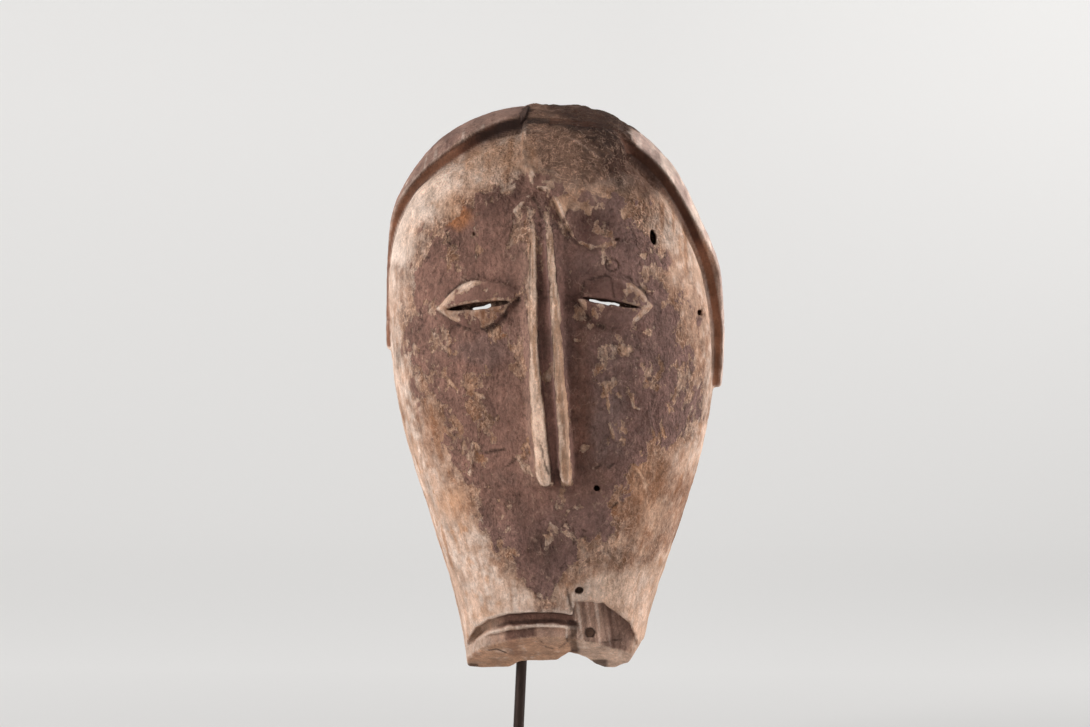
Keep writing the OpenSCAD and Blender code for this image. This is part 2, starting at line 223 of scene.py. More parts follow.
def noise(p, size, seed):
    """Smooth noise from -1 to 1 at points p, with features of that size in x, y and z."""
    q = p / np.asarray(size, float)
    whole = np.floor(q).astype(np.int64)
    part = q - whole
    part = part * part * (3 - 2 * part)
    total = 0
    for corner in range(8):
        step = np.array([corner & 1, corner >> 1 & 1, corner >> 2 & 1])
        share = np.where(step, part, 1 - part).prod(-1)
        total = total + share * lattice(*(whole + step).T, seed)
    return 2 * total - 1


def layered(p, size, seed, layers=4):
    """Noise summed over finer and finer layers."""
    size = np.asarray(size, float)
    total = sum(noise(p, size / 2 ** n, seed + n) / 2 ** n for n in range(layers))
    return total / (2 - 2 ** (1 - layers))


def ripple(x, z, size, seed, layers=3):
    """Layered noise over x and z alone."""
    x, z = np.broadcast_arrays(x, z)
    spots = np.stack([x, 0 * x, z], -1).reshape(-1, 3)
    return layered(spots, size, seed, layers).reshape(x.shape)


def scoops(p, size, seed):
    """Distance to the nearest of a field of scattered points, 0 to about 1, as tool strokes leave."""
    q = p / np.asarray(size, float)
    whole = np.floor(q).astype(np.int64)
    best = np.full(len(p), 9.0)
    for corner in range(27):
        cell = whole + np.array([corner % 3, corner // 3 % 3, corner // 9]) - 1
        spot = np.stack([lattice(*cell.T, seed + n) for n in range(3)], -1)
        best = np.minimum(best, ((cell + spot - q) ** 2).sum(-1))
    return np.sqrt(best)


# Lines and spots in x and z

def level(x, line):
    """The second value of a line at its first value x."""
    return np.interp(x, [p[0] for p in line], [p[1] for p in line])


def line_distance(x, z, line):
    """Distance to a chain of straight stretches in x and z."""
    best = 1e9
    for (ax, az), (bx, bz) in zip(line, line[1:]):
        along = ((x - ax) * (bx - ax) + (z - az) * (bz - az)) / ((bx - ax) ** 2 + (bz - az) ** 2)
        t = np.clip(along, 0, 1)
        best = np.minimum(best, np.hypot(x - ax - t * (bx - ax), z - az - t * (bz - az)))
    return best


def turned(x, z, at, slant):
    """Coordinates along and across a line through a point, slanted by degrees."""
    c, s = math.cos(math.radians(slant)), math.sin(math.radians(slant))
    dx, dz = x - at[0], z - at[1]
    return dx * c + dz * s, dz * c - dx * s


def spot(x, z, at, rx, rz):
    """A soft round patch, 1 in the middle."""
    return np.exp(-((x - at[0]) / rx) ** 2 - ((z - at[1]) / rz) ** 2)


# The carved form

def flare(z):
    return np.sin(np.pi / 2 * np.clip(z / WIDE_Z, 0, 1)) ** FLARE


def jaw(z):
    """Sideways bulge of the jaw."""
    return JAW_SHIFT * ease(2 * z / WIDE_Z) * (1 - ease(2 * z / WIDE_Z - 1))


def mid_x(z):
    """Midline of the face, which leans over towards the crown."""
    return jaw(z) + CROWN_SHIFT * ease((z - LEAN_LOW) / LEAN_RISE)


def coif_mid_x(z):
    """Midline of the coif, which leans later than the face."""
    return jaw(z) + CROWN_SHIFT * ease((z - COIF_LEAN_LOW) / COIF_LEAN_RISE)


def half_w(z):
    return CHIN_HALF_W + (FACE_HALF_W - CHIN_HALF_W) * flare(z)


def head(x, y, z, grow=0, rise=0, loss=0, midline=mid_x):
    """1 on the head form grown outwards and upwards, less inside it."""
    w = half_w(z) + grow
    d = CHIN_DEPTH + (FACE_DEPTH - CHIN_DEPTH) * flare(z) + grow - loss
    ring = np.abs((x - midline(z)) / w) ** SECTION_N + np.abs(y / d) ** SECTION_N
    up = np.maximum(0, (z - WIDE_Z) / (CROWN_H + rise))
    return (ring ** (CROWN_N / SECTION_N) + up ** CROWN_N) ** (1 / CROWN_N)


def hollow(x, y, z):
    """1 on the skin of the hollow, less inside it."""
    share = head(x, y, z, -WALL, -WALL, FRONT_EXTRA)
    down = np.maximum(0, (HOLLOW_Z + FLOOR_ROUND - z) / FLOOR_ROUND)
    return np.sqrt(share ** 2 + down ** 2)


def coif_edge(x, z):
    """How far in front of the rim plane the coif's front edge stands."""
    rise = ease((z - SWEEP_LEFT_Z) / (SWEEP_TOP_Z - SWEEP_LEFT_Z))
    worn_back = 1.5 * ease((z - 335) / 20) + 7 * ease((x + 62) / 42) * ease((z - 375) / 15)
    left = COIF_END_DEPTH + (COIF_TOP_DEPTH - COIF_END_DEPTH) * rise - worn_back
    return np.where(x < 0, left, level(z, RIGHT_EDGE))


def dark_hollow(x, z):
    """The deep corner in front of the coif at the upper right."""
    return spot(x, z, (68, 362), 19, 15) * (x > 40)


def coif_end(x):
    return np.where(x < 0, COIF_LEFT_Z, COIF_RIGHT_Z)


def worn(x):
    """1 over the worn stretch of the crown, 0 beside it."""
    return ease((x - WORN_LEFT_X + 2) / 4) * (1 - ease((x - WORN_RIGHT_X + 8) / 16))


def course(z, column):
    """One edge of the nose's ribs at a level."""
    rows = NOSE_COURSE[::-1]
    return np.interp(z, [r[0] for r in rows], [r[column] for r in rows])


def nose_beside(x, z):
    """Distance outside the nose, and distance inside its groove."""
    outside = np.maximum(course(z, 1) - x, x - course(z, 4))
    return outside, np.minimum(x - course(z, 2), course(z, 3) - x)


def down_nose(z):
    """0 at the top of the nose, 1 at its tip."""
    return np.clip((NOSE_TOP_Z - z) / (NOSE_TOP_Z - NOSE_TIP_Z), 0, 1)


def nose_relief(x, z):
    """Height of the two-ribbed nose above the face."""
    t = down_nose(z)
    outside, groove_in = nose_beside(x, z)
    flank_w = np.where(x < course(z, 2), 8, 4) + 7 * (1 - ease(1.6 * t))
    flank = 1 - ease((outside + 1.2) / flank_w)
    groove = GROOVE_D * ease(2.5 * t) * ease((groove_in + 0.5) / 2.4)
    on_left = x < course(z, 3)
    low = np.where(on_left, course(z, 1), course(z, 3))
    high = np.where(on_left, course(z, 2), course(z, 4))
    across = np.clip((2 * x - low - high) / (high - low), -1.5, 1.5)
    ragged_end = 3.5 * across ** 2 + 1.2 * ripple(x, z, 4, 58)
    end = NOSE_TIP_Z + np.where(on_left, -3, -1) + ragged_end + 4 * ease((groove_in + 0.5) / 2)
    return (NOSE_H * t ** 0.7 * flank - groove) * ease((z - end) / 3)


def lid_inside(x, z, eye):
    """Distance inside the edge of a lid, in millimetres, less than 0 outside it."""
    p, q = turned(x, z, eye["at"], eye["slant"])
    bow = 1 - np.abs(np.clip(p / eye["half"], -1.2, 1.2)) ** 1.7
    return np.where(q > 0, eye["above"], eye["below"]) * bow - np.abs(q)


def slit_inside(x, z, eye):
    """Distance inside the slit of an eye."""
    p, q = turned(x, z, eye["slit_at"], eye["slit_slant"])
    return eye["slit_tall"] * np.sqrt(np.maximum(0, 1 - (p / eye["slit_half"]) ** 2)) - np.abs(q)


def eye_relief(x, z):
    """Height of the bevelled lids above the face, with a shallow socket round them."""
    total = 0
    for eye in EYES:
        inside = lid_inside(x, z, eye)
        outer_half = ease(0.5 + (x - eye["at"][0]) * np.sign(eye["at"][0]) / eye["half"])
        bevel = LID_T * (0.3 + 0.7 * outer_half) * ease(inside / 5.5)
        lip = 1.2 * ease(1.6 - np.abs(slit_inside(x, z, eye) + 1.6) / 1.4)
        total = total + bevel + lip * ease(inside / 4)
        total = total - 3 * spot(x, z, eye["at"], 1.3 * eye["half"], 30) * ease(0.5 - inside / 3)
    return total


def lip_drop(x, z):
    """How far a point lies below the uneven edge of the lip."""
    return level(x, LIP_LINE) - z + 0.9 * ripple(x, z, 12, 51)


def break_fall(x, z):
    """How far a point lies below the ragged upper edge of the break."""
    return level(x, BREAK_LINE) - z + 1.8 * ripple(x, z, 8, 52)


def left_of_break(x, z):
    return 1 - ease((x - 18 + 2.5 * ripple(x, z, 9, 53)) / 2)


def in_notch(x, z):
    """1 in the crumbled notch between the lip and the break."""
    edge = ripple(x, z, 7, 54)
    return ease((x - 12.5 + 3 * edge) / 2) * ease((22 + 4 * edge - x) / 3) * ease((43 + 4 * edge - z) / 3)


def chin_relief(x, z):
    """Wood taken off the front under the lip and in the break, as a negative height."""
    drop = lip_drop(x, z)
    left = left_of_break(x, z)
    mouth = (ease(drop / 2) - ease((drop - 8) / 2)) * ease((x + 64) / 14)
    band = ease((drop - 11.5) / 1.5) * ease((x + 52) / 14)
    lip = (LIP_D * ease(drop / 2) + MOUTH_D * mouth + BAND_D * band) * left
    depth = BREAK_D * (1 - 0.75 * ease((x - 40) / 22)) + 0.7 * ripple(x, z, (2.6, 1, 40), 55)
    broken = depth * ease(break_fall(x, z) / 2) * (1 - left)
    return -np.maximum(lip + broken, NOTCH_D * 1.6 * in_notch(x, z))


def below_cut(y, z):
    """How far a point lies straight below the slanted cut under the chin."""
    return -y * math.tan(math.radians(CHIN_SLOPE)) - z


def face_relief(x, z):
    """Height of all the carving and the larger flaws above the plain face."""
    flake = line_distance(x, z, FLAKE_EDGE)
    lifted = 2.2 * ease((z - level(x, FLAKE_EDGE)) / 2 + 0.5) * np.exp(-flake / 10)
    dent = -3.2 * ease(1.6 - np.hypot((x - 35) / 17, (z - 327) / 13) * 1.2)
    ring = -0.8 * ease(1 - np.abs(np.hypot(x - RING_AT[0], z - RING_AT[1]) - RING_R) / 1.5)
    bridge = 2.5 * spot(x, z, (-7, 352), 26, 20)
    folds = sum(2.4 * ease(1 - line_distance(x, z, fold) / 4) for fold in FOLDS)
    folds = folds + sum(0.9 * ease(1 - line_distance(x, z, line) / 2.6) for line in SCRATCHES)
    shoulder = 3 * spot(x, z, (-97, 360), 20, 22)
    carving = nose_relief(x, z) + eye_relief(x, z) + chin_relief(x, z)
    return carving + lifted + dent + ring + bridge + folds + shoulder


# The mask as one mesh, carved in a grid of distances

VOXEL = 1.25
GRID_LOW = (-138, -133, -9)
GRID_HIGH = (138, 6, 430)
NARROW_BAND = 8.0


def grid_distance(value):
    """Distance in millimetres from a form that is 1 on its skin."""
    slopes = np.gradient(value, VOXEL)
    return (value - 1) / np.maximum(np.sqrt(sum(s * s for s in slopes)), 1e-4)


def grid_noise(shape, axes, where, size, seed, layers):
    """Layered noise on the grid, worked out only where it is asked for."""
    out = np.zeros(shape, np.float32)
    i, j, k = np.nonzero(where)
    points = np.stack([axes[0][i], axes[1][j], axes[2][k]], -1)
    out[i, j, k] = layered(points, size, seed, layers)
    return out


def coif_band(x, y, z, axes):
    """Distance from the coif, with its rough front edge and the worn stretch at the crown."""
    thin = 2.5 * ease((-40 - x) / 40) * ease((310 - z) / 40)
    grown = grid_distance(head(x, y, z, COIF_T - thin, COIF_RISE, 0, coif_mid_x))
    near_skin = (np.abs(grown) < 12) & (z > 190)
    rough = grid_noise(grown.shape, axes, near_skin, 22, 3, 3)
    before_edge = -y - coif_edge(x, z) + 1.6 * rough
    slope = math.radians(WORN_SLOPE)
    crown_top = WIDE_Z + CROWN_H + COIF_RISE
    above_slope = (z - crown_top) * math.cos(slope) - (y + WORN_START) * math.sin(slope) + 1.8 * rough
    worn_front = smooth_max(above_slope, before_edge - WORN_REACH, 14)
    before = before_edge + worn(x) * (worn_front - before_edge)
    band = smooth_max(grown, before, CUT_R + 6 * worn(x))
    return smooth_max(band, coif_end(x) - z + 1.5 * rough, CUT_R)


def bored(solid, bare, x, y, z):
    """The grid with the eyes' slits, the small holes and the peg's hole cut into it."""
    for eye in EYES:
        blind = np.maximum(-slit_inside(x, z, eye), -bare - SLIT_D)
        solid = smooth_max(solid, -blind, 0.8)
        uneven = 0.9 * ripple(x, z, 4, 57)
        for middle, half in eye["holes"]:
            p, q = turned(x, z, middle, eye["slit_slant"])
            bore = np.hypot(np.maximum(np.abs(p) - half + 1.3, 0), q) - 1.35 - uneven
            solid = smooth_max(solid, -np.maximum(bore, y + 20), 0.5)
    for hx, hz, rx, rz, slant, depth in HOLES:
        p, q = turned(x, z, (hx, hz), slant)
        bore = (np.hypot(p / rx, q / rz) - 1) * min(rx, rz) - 0.7 * ripple(x, z, 3, 59)
        solid = np.maximum(solid, -np.maximum(bore, -bare - depth))
    peg = np.hypot(x - PEG_X, z - PEG_Z) - PEG_R
    peg_low, peg_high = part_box("lip_peg")
    peg_back = (peg_high.y - MASK_AT[1]) / MM
    return np.maximum(solid, -np.maximum(peg, y - peg_back - PEG_GAP))


def carve():
    """The mask's distance grid, in millimetres from its own point."""
    axes = [np.arange(low, high, VOXEL) for low, high in zip(GRID_LOW, GRID_HIGH)]
    x = axes[0][:, None, None]
    y = axes[1][None, :, None]
    z = axes[2][None, None, :]
    front = ease((-y - 16) / 16)

    bare = grid_distance(head(x, y, z))
    ahead = -y - coif_edge(x, z)
    channel = CHANNEL_D * np.exp(-(ahead / 9) ** 2) * ease((z - coif_end(x)) / 20) * (1 - worn(x))
    channel = channel + 3.5 * dark_hollow(x, z) * np.exp(-(ahead / 14) ** 2)
    solid = bare - face_relief(x, z) * front + channel * (ahead > -3)
    solid = smooth_min(solid, coif_band(x, y, z, axes), COVE_R + 18 * worn(x))

    solid = smooth_max(solid, -grid_distance(hollow(x, y, z)), RIM_R)
    solid = smooth_max(solid, y, RIM_R)
    solid = smooth_max(solid, below_cut(y, z) * math.cos(math.radians(CHIN_SLOPE)), CUT_R)
    solid = smooth_max(solid, level(x, FOOT_LINE) - z, CUT_R)
    return bored(solid, bare, x, y, z).astype(np.float32)


def mask_mesh():
    """Points in millimetres and four-sided faces of the carved mask."""
    grid = openvdb.FloatGrid(NARROW_BAND)
    grid.copyFromArray(np.clip(carve(), -NARROW_BAND, NARROW_BAND))
    points, quads = grid.convertToQuads()
    return points * VOXEL + np.array(GRID_LOW), quads


def point_normals(p, faces):
    """The normal at each point, from the faces round it."""
    across = np.cross(p[faces[:, 2]] - p[faces[:, 0]], p[faces[:, 3]] - p[faces[:, 1]])
    total = np.zeros_like(p)
    for corner in range(4):
        np.add.at(total, faces[:, corner], across)
    return total / np.maximum(np.linalg.norm(total, axis=1, keepdims=True), 1e-9)


def edges_of(faces):
    """Each pair of neighbouring points, both ways round."""
    pairs = np.concatenate([faces[:, [i, (i + 1) % 4]] for i in range(4)])
    return np.concatenate([pairs, pairs[:, ::-1]])


def spread(values, pairs, times):
    """A value at each point, blurred over its neighbours that many times."""
    count = np.bincount(pairs[:, 0], minlength=len(values))
    for _ in range(times):
        values = np.bincount(pairs[:, 0], values[pairs[:, 1]], len(values)) / count
    return values


points, quads = mask_mesh()
normals = point_normals(points, quads)
if ((points - points.mean(0)) * normals).sum() < 0:
    quads = quads[:, ::-1]
    normals = -normals

# Worn edges, and dirt with painted shade in the hollow corners, from how the skin bends.
links = edges_of(quads)
mean_at = np.stack([spread(points[:, n], links, 1) for n in range(3)], -1)
bend = spread(((mean_at - points) * normals).sum(-1), links, 2) / VOXEL
worn_edge = ease(-bend * 9 - 0.25)
dirt_and_shade = ease(bend * 9 - 0.2)

# Regions of the skin, each from 0 to 1 at every point.
px, py, pz = points.T
inner = ease((1.06 - hollow(px, py, pz)) / 0.04)
outer = 1 - inner
rim = ease((py + 2.5) / 1.5) * outer
signed_side = (px - mid_x(pz)) / half_w(pz)
ahead = -py - coif_edge(px, pz)
above_end = pz - coif_end(px)
on_coif = ease(0.5 - ahead / 2) * ease(0.5 + above_end / 2) * outer * (1 - rim)
proud = head(px, py, pz) - 1
facing = ease(-normals[:, 1] * 2.5 - 0.6)
near_face = ease((0.05 - proud) * 60 + 0.3)
on_wall = ease(proud * 80 + 0.6) * near_face
# The step face in front of the coif; its dark colour is partly patina and partly painted shade.
step = ease(1.8 - np.abs(ahead + 1) / 3.2) * on_wall * ease(above_end / 2) * facing * outer
ragged = layered(points, 16, 40, 4)
crust_low = level(px, CRUST_LINE) + 9 * ragged + 4 * layered(points, (4, 4, 50), 41, 2)
crust_right = 62 + 4 * ease((pz - 376) / 10)
crust = ease((pz - crust_low) / 24 + 0.5) * ease((px + 17) / 2 + 0.5) * outer
crust = crust * ease((crust_right - px + 14 * ragged) / 9)

# Fine relief: hewn scoops, fibres along the grain and a crust at the crown.
fine = 0.6 * layered(points, 30, 11, 3) + 0.5 * layered(points, 11, 12, 3) + 0.25 * layered(points, 5, 15, 2)
fibre = layered(points, (3, 3, 26), 13, 3)
hewn = scoops(points, (26, 26, 34), 17)
lift = outer * (fine + 0.12 * fibre) + inner * (1.6 * hewn ** 2 + 0.25 * fibre)
lift = lift + crust * 1.5 * layered(points, (6, 6, 10), 19, 3)
carved_points = points + normals * lift[:, None]


def mesh_object(name, verts, faces, material):
    """A new smooth mesh object from points in metres."""
    mesh = bpy.data.meshes.new(name)
    mesh.from_pydata(verts, [], faces)
    mesh.polygons.foreach_set("use_smooth", np.ones(len(mesh.polygons), bool))
    mesh.materials.append(material)
    piece = bpy.data.objects.new(name, mesh)
    bpy.context.collection.objects.link(piece)
    return piece


# Colours, as seen, from 0 to 255

def tint(r, g, b):
    """A seen colour as the linear values that shaders take."""
    c = np.array([r, g, b]) / 255
    return np.where(c <= 0.04045, c / 12.92, ((c + 0.055) / 1.055) ** 2.4)


CREAM = tint(238, 214, 198)
TAN = tint(203, 167, 144)
OCHRE = tint(174, 129, 99)
UMBER = tint(137, 100, 88)
MAUVE = tint(130, 98, 91)
GREY_MAUVE = tint(130, 104, 98)
PLUM = tint(92, 61, 55)
RUST = tint(166, 108, 72)
RUST_FLECK = tint(188, 138, 102)
RED_BROWN = tint(122, 78, 58)
COIF_BROWN = tint(152, 106, 82)
CHOCOLATE = tint(60, 40, 32)
BLACK_BROWN = tint(48, 31, 26)
CRUST = tint(80, 56, 45)
CRUST_FIBRE = tint(152, 116, 96)
ROSE_GREY = tint(196, 168, 156)
TAUPE = tint(163, 129, 115)
BROKEN = tint(184, 148, 130)
MOUTH = tint(138, 100, 86)
DARK_RED = tint(88, 58, 50)
LOWER_LIP = tint(172, 134, 114)
GROOVE = tint(140, 100, 90)
RAW_WOOD = tint(134, 98, 74)
CUT_WOOD = tint(192, 149, 122)
RIB = tint(238, 202, 178)
# What the brown stain takes from each of red, green and blue.
STAIN = np.array([0.53, 0.435, 0.38])

# How far out from the midline the dark skin reaches, as a share of the half width, over the level.
SKIN_REACH = (
    (50, -0.1), (62, 0.04), (75, 0.24), (90, 0.38), (117, 0.56), (167, 0.73), (202, 0.77), (273, 0.8),
    (313, 0.73), (333, 0.67), (346, 0.57), (358, 0.28), (372, 0.02), (390, -0.1),
)
# Patches of the film: colour, x, level, half width, half height, amount. The plum patches at x -22, 34 and
# 45 round the eyes are painted shade in the eye sockets.
FILM_PATCHES = (
    (PLUM, -33, 346, 24, 15, 0.6), (PLUM, 31, 326, 14, 12, 0.9), (PLUM, -22, 277, 14, 16, 0.6),
    (PLUM, 34, 276, 26, 22, 0.8), (PLUM, 2, 106, 30, 28, 0.25), (CHOCOLATE, -4, 94, 11, 16, 0.4),
    (PLUM, 45, 250, 30, 16, 0.5), (GREY_MAUVE, 40, 188, 16, 38, 0.8), (GREY_MAUVE, 22, 230, 12, 20, 0.5),
    (GREY_MAUVE, -40, 238, 26, 14, 0.5), (RED_BROWN, 26, 205, 9, 60, 0.5), (RUST, -66, 334, 13, 11, 1.0),
    (PLUM, 66, 200, 12, 30, 0.4), (PLUM, -52, 260, 22, 7, 0.5), (UMBER, -20, 225, 12, 30, 0.5),
)
# Patches where the film is torn and the wood shows: its colour, then as above.
TORN_PATCHES = (
    (OCHRE, -58, 220, 20, 14, 0.45), (OCHRE, -37, 226, 6, 9, 0.4), (OCHRE, -76, 182, 20, 24, 0.7),
    (OCHRE, -52, 190, 14, 16, 0.45), (RUST_FLECK, -66, 128, 18, 18, 0.8),
    (RUST_FLECK, 74, 128, 15, 44, 0.7), (OCHRE, 58, 124, 16, 32, 0.4), (RUST_FLECK, 60, 165, 12, 16, 0.4),
    (OCHRE, 62, 345, 24, 16, 0.6), (OCHRE, -70, 305, 14, 18, 0.5), (OCHRE, 84, 205, 9, 34, 0.6),
    (TAN, 9, 338, 10, 15, 1.3), (OCHRE, 28, 346, 34, 12, 1.1), (RUST_FLECK, -67, 342, 14, 12, 0),
    (OCHRE, -30, 98, 10, 12, 0.6), (TAN, 24, 98, 9, 11, 0.9),
)
# Patches of paler wood: x, level, half width, half height, amount.
PALE_PATCHES = (
    (44, 68, 16, 16, 0.4), (62, 98, 14, 13, 0.12), (81, 117, 14, 14, 0.3), (40, 340, 12, 10, 0.3),
    (-86, 357, 14, 12, 0.5), (-104, 322, 10, 14, 0.4),
)
# How the edge of a crumbled patch is broken up, as blotch() takes it: peak, coarse, fine, cut.
CRUMBLED = (1.5, 0.7, 0.4, 0.25)

# Blotches and streaks of several sizes, each about -1 to 1.
wide = layered(points, 48, 21, 4)
mottle = layered(points, 14, 22, 4)
fleck = layered(points, 5, 23, 3)
streak = layered(np.stack([120 * signed_side, 0 * px, pz / 12], -1), 4, 24, 3)
on_face = ease((-py - 36) / 8)


def lay(colour, over, amount):
    """One colour laid over others by an amount from 0 to 1 at each point."""
    return over + (colour - over) * np.clip(amount, 0, 1)[:, None]


def lay_all(over, layers):
    """Colours laid over others one after another, each by its own amount."""
    for colour, amount in layers:
        over = lay(colour, over, amount)
    return over


def near(x, z, rx, rz):
    """A soft round spot on the skin, 1 in the middle."""
    return spot(px, pz, (x, z), rx, rz)


def blotch(x, z, rx, rz, peak=1.4, coarse=0.5, fine=0, cut=0.15):
    """A spot on the skin whose edge is broken up by the mottling."""
    return ease(peak * near(x, z, rx, rz) + coarse * mottle + fine * fleck - cut)


def face_colours():
    """Bare wood and film of the plain face, with how far film and stain cover it."""
    right = px > 0
    temple = blotch(-88, 352, 24, 22, 1.5, cut=0.2)
    bare = lay_all(TAN, (
        (CREAM, 0.25 + 0.5 * streak + 0.7 * mottle + 0.6 * wide + 0.9 * fleck),
        (OCHRE, 0.8 * ease(-2 * streak - 0.4 + 1.5 * mottle)),
        (RUST_FLECK, 0.7 * ease(4 * layered(points, 9, 31, 3) - 1.1) * ease((250 - pz) / 30)),
        # Pale wood and a painted highlight at the upper left edge.
        (CREAM, 0.9 * near(-110, 312, 20, 34) * ease(1.2 + mottle)),
        (CREAM, 0.7 * temple),
    ))
    # On the right the film reaches further out; above level 325 this is painted shade below the coif's step.
    right_reach = 0.12 * ease((pz - 165) / 30) * ease((300 - pz) / 30) + 0.1 * ease((pz - 325) / 25)
    right_low = 0.6 * ease((pz - 56) / 48) * ease((165 - pz) / 40)
    low_shift = 0.08 * ease((108 - pz) / 36)
    inward = level(pz, SKIN_REACH) - np.abs(signed_side + low_shift) + right * right_reach
    inward = inward + 0.11 * near(96, 174, 18, 16) + 0.12 * ease((110 - pz) / 40) * mottle
    film = 0.86 * ease((inward - 0.04) / 0.28 + 0.5 + 0.5 * wide + 0.4 * mottle)
    stain = ease((inward + right * right_low + 0.1) / 0.4 + 0.5 + 0.5 * wide + 0.5 * mottle)
    skin = lay(MAUVE, UMBER, ease(0.5 + 1.2 * wide + (px + 15) / 90))
    for colour, x, z, rx, rz, amount in FILM_PATCHES:
        skin = lay(colour, skin, amount * blotch(x, z, rx, rz, *CRUMBLED))
    for colour, x, z, rx, rz, amount in TORN_PATCHES:
        patch = blotch(x, z, rx, rz, *CRUMBLED)
        bare = lay(colour, bare, 0.6 * patch)
        film = film * (1 - 0.6 * amount * patch)
        stain = stain * (1 - 0.35 * amount * patch)
    skin = lay(PLUM, skin, 0.35 * ease(3 * layered(points, 26, 27, 4) - 0.7))

    mound = blotch(-22, 377, 17, 14, 1.5)
    crumbs = blotch(4, 359, 48, 16, coarse=0.8, fine=0.6)
    right_temple = blotch(86, 328, 18, 18, cut=0.2)
    # Pale wood and a painted highlight along the far left edge, where the left light falls.
    pale_and_lit_edge = ease((pz - 300) / 12) + 0.5 * near(-108, 225, 20, 24)
    pale_and_lit_edge = pale_and_lit_edge * ease((-98 - px + 6 * mottle) / 10)
    film = film * (1 - temple) * (1 - 0.85 * mound) * (1 - 0.7 * crumbs) * (1 - 0.8 * right_temple)
    stain = stain * (1 - 0.9 * temple) * (1 - 0.5 * mound) * (1 - 0.5 * crumbs) * (1 - 0.5 * right_temple)
    stain = stain * (1 - 0.8 * pale_and_lit_edge)
    bare = lay_all(bare, (
        (OCHRE, 0.6 * mound),
        (CREAM, 0.7 * pale_and_lit_edge),
        (UMBER, 0.4 * blotch(-2, 46, 28, 9)),
        (CHOCOLATE, 0.4 * near(-58, 18, 9, 12) * outer),
        (CREAM, 0.25 * ease((92 - pz) / 34) * ease(0.8 + mottle)),
        (OCHRE, 0.45 * ease((px - 25) / 20) * ease((105 - pz) / 30) * ease(0.8 + mottle)),
    ))
    for x, z, rx, rz, amount in PALE_PATCHES:
        patch = amount * blotch(x, z, rx, rz, fine=0.3)
        bare = lay(RIB, bare, patch)
        stain = stain * (1 - patch)
        film = film * (1 - 0.7 * patch)
    return bare, skin, film * outer, stain * outer


def nose_colours(bare, skin, film, stain):
    """Pale ribs, a dark groove, a brown shadow at the nose's right and painted light on its left flank."""
    t = down_nose(pz)
    outside, groove_in = nose_beside(px, pz)
    away = np.maximum(outside, 0)
    on_nose = on_face * ease((pz - NOSE_TIP_Z + 2) / 3)
    right = ease(px - course(pz, 3) + 0.5)
    soft_edge = np.where(px < course(pz, 2), 2.8, 2.2)
    rib = ease(1 - (outside + 0.5) / soft_edge) * ease(0.5 - groove_in / 1.4) * ease(t * 7 - 0.3) * on_nose
    clean = rib * np.clip(1.15 - (0.2 - 0.2 * t) * right + 0.3 * mottle, 0, 1)
    grained = layered(np.stack([px - course(pz, 2), 0 * px, pz / 14], -1), (2.6, 1, 1.6), 33, 3)
    browner = np.where(px < course(pz, 3), 0.5 - 1.1 * t, 0.8 * t - 0.2)
    groove = ease((groove_in + 0.2) / 1.4) * on_nose * ease(t * 6)
    wall = ease(1.4 - np.abs(groove_in - 0.5) / 1.2) * groove * (1 - right)
    shadow = np.exp(-away / 13) * ease(px - course(pz, 4) + 1) * on_nose * ease(t * 3)
    # Painted light on the nose's left flank, the side the left light falls on.
    slope = np.exp(-away / 7) * ease(course(pz, 1) - px + 1) * on_nose * ease(t * 6)
    bare = lay(RIB, bare, rib)
    bare = lay(OCHRE, bare, 0.8 * rib * ease(2.2 * grained + 0.25 + 0.8 * mottle + browner))
    skin = lay_all(skin, (
        (GROOVE, 0.9 * groove),
        (CHOCOLATE, 0.35 * groove * ease(2.4 * grained + 0.1)),
        (CHOCOLATE, 0.15 * groove * ease((0.62 - t) / 0.3)),
        (GREY_MAUVE, 0.6 * wall),
        (PLUM, (0.8 - 0.3 * t) * shadow),
        # Painted light on the left flank.
        (TAN, 0.35 * slope * ease(0.9 + mottle)),
    ))
    film = np.maximum(film * (1 - 0.95 * clean) * (1 - 0.3 * slope), groove)
    return bare, skin, film, np.maximum(stain * (1 - 0.9 * clean), groove)


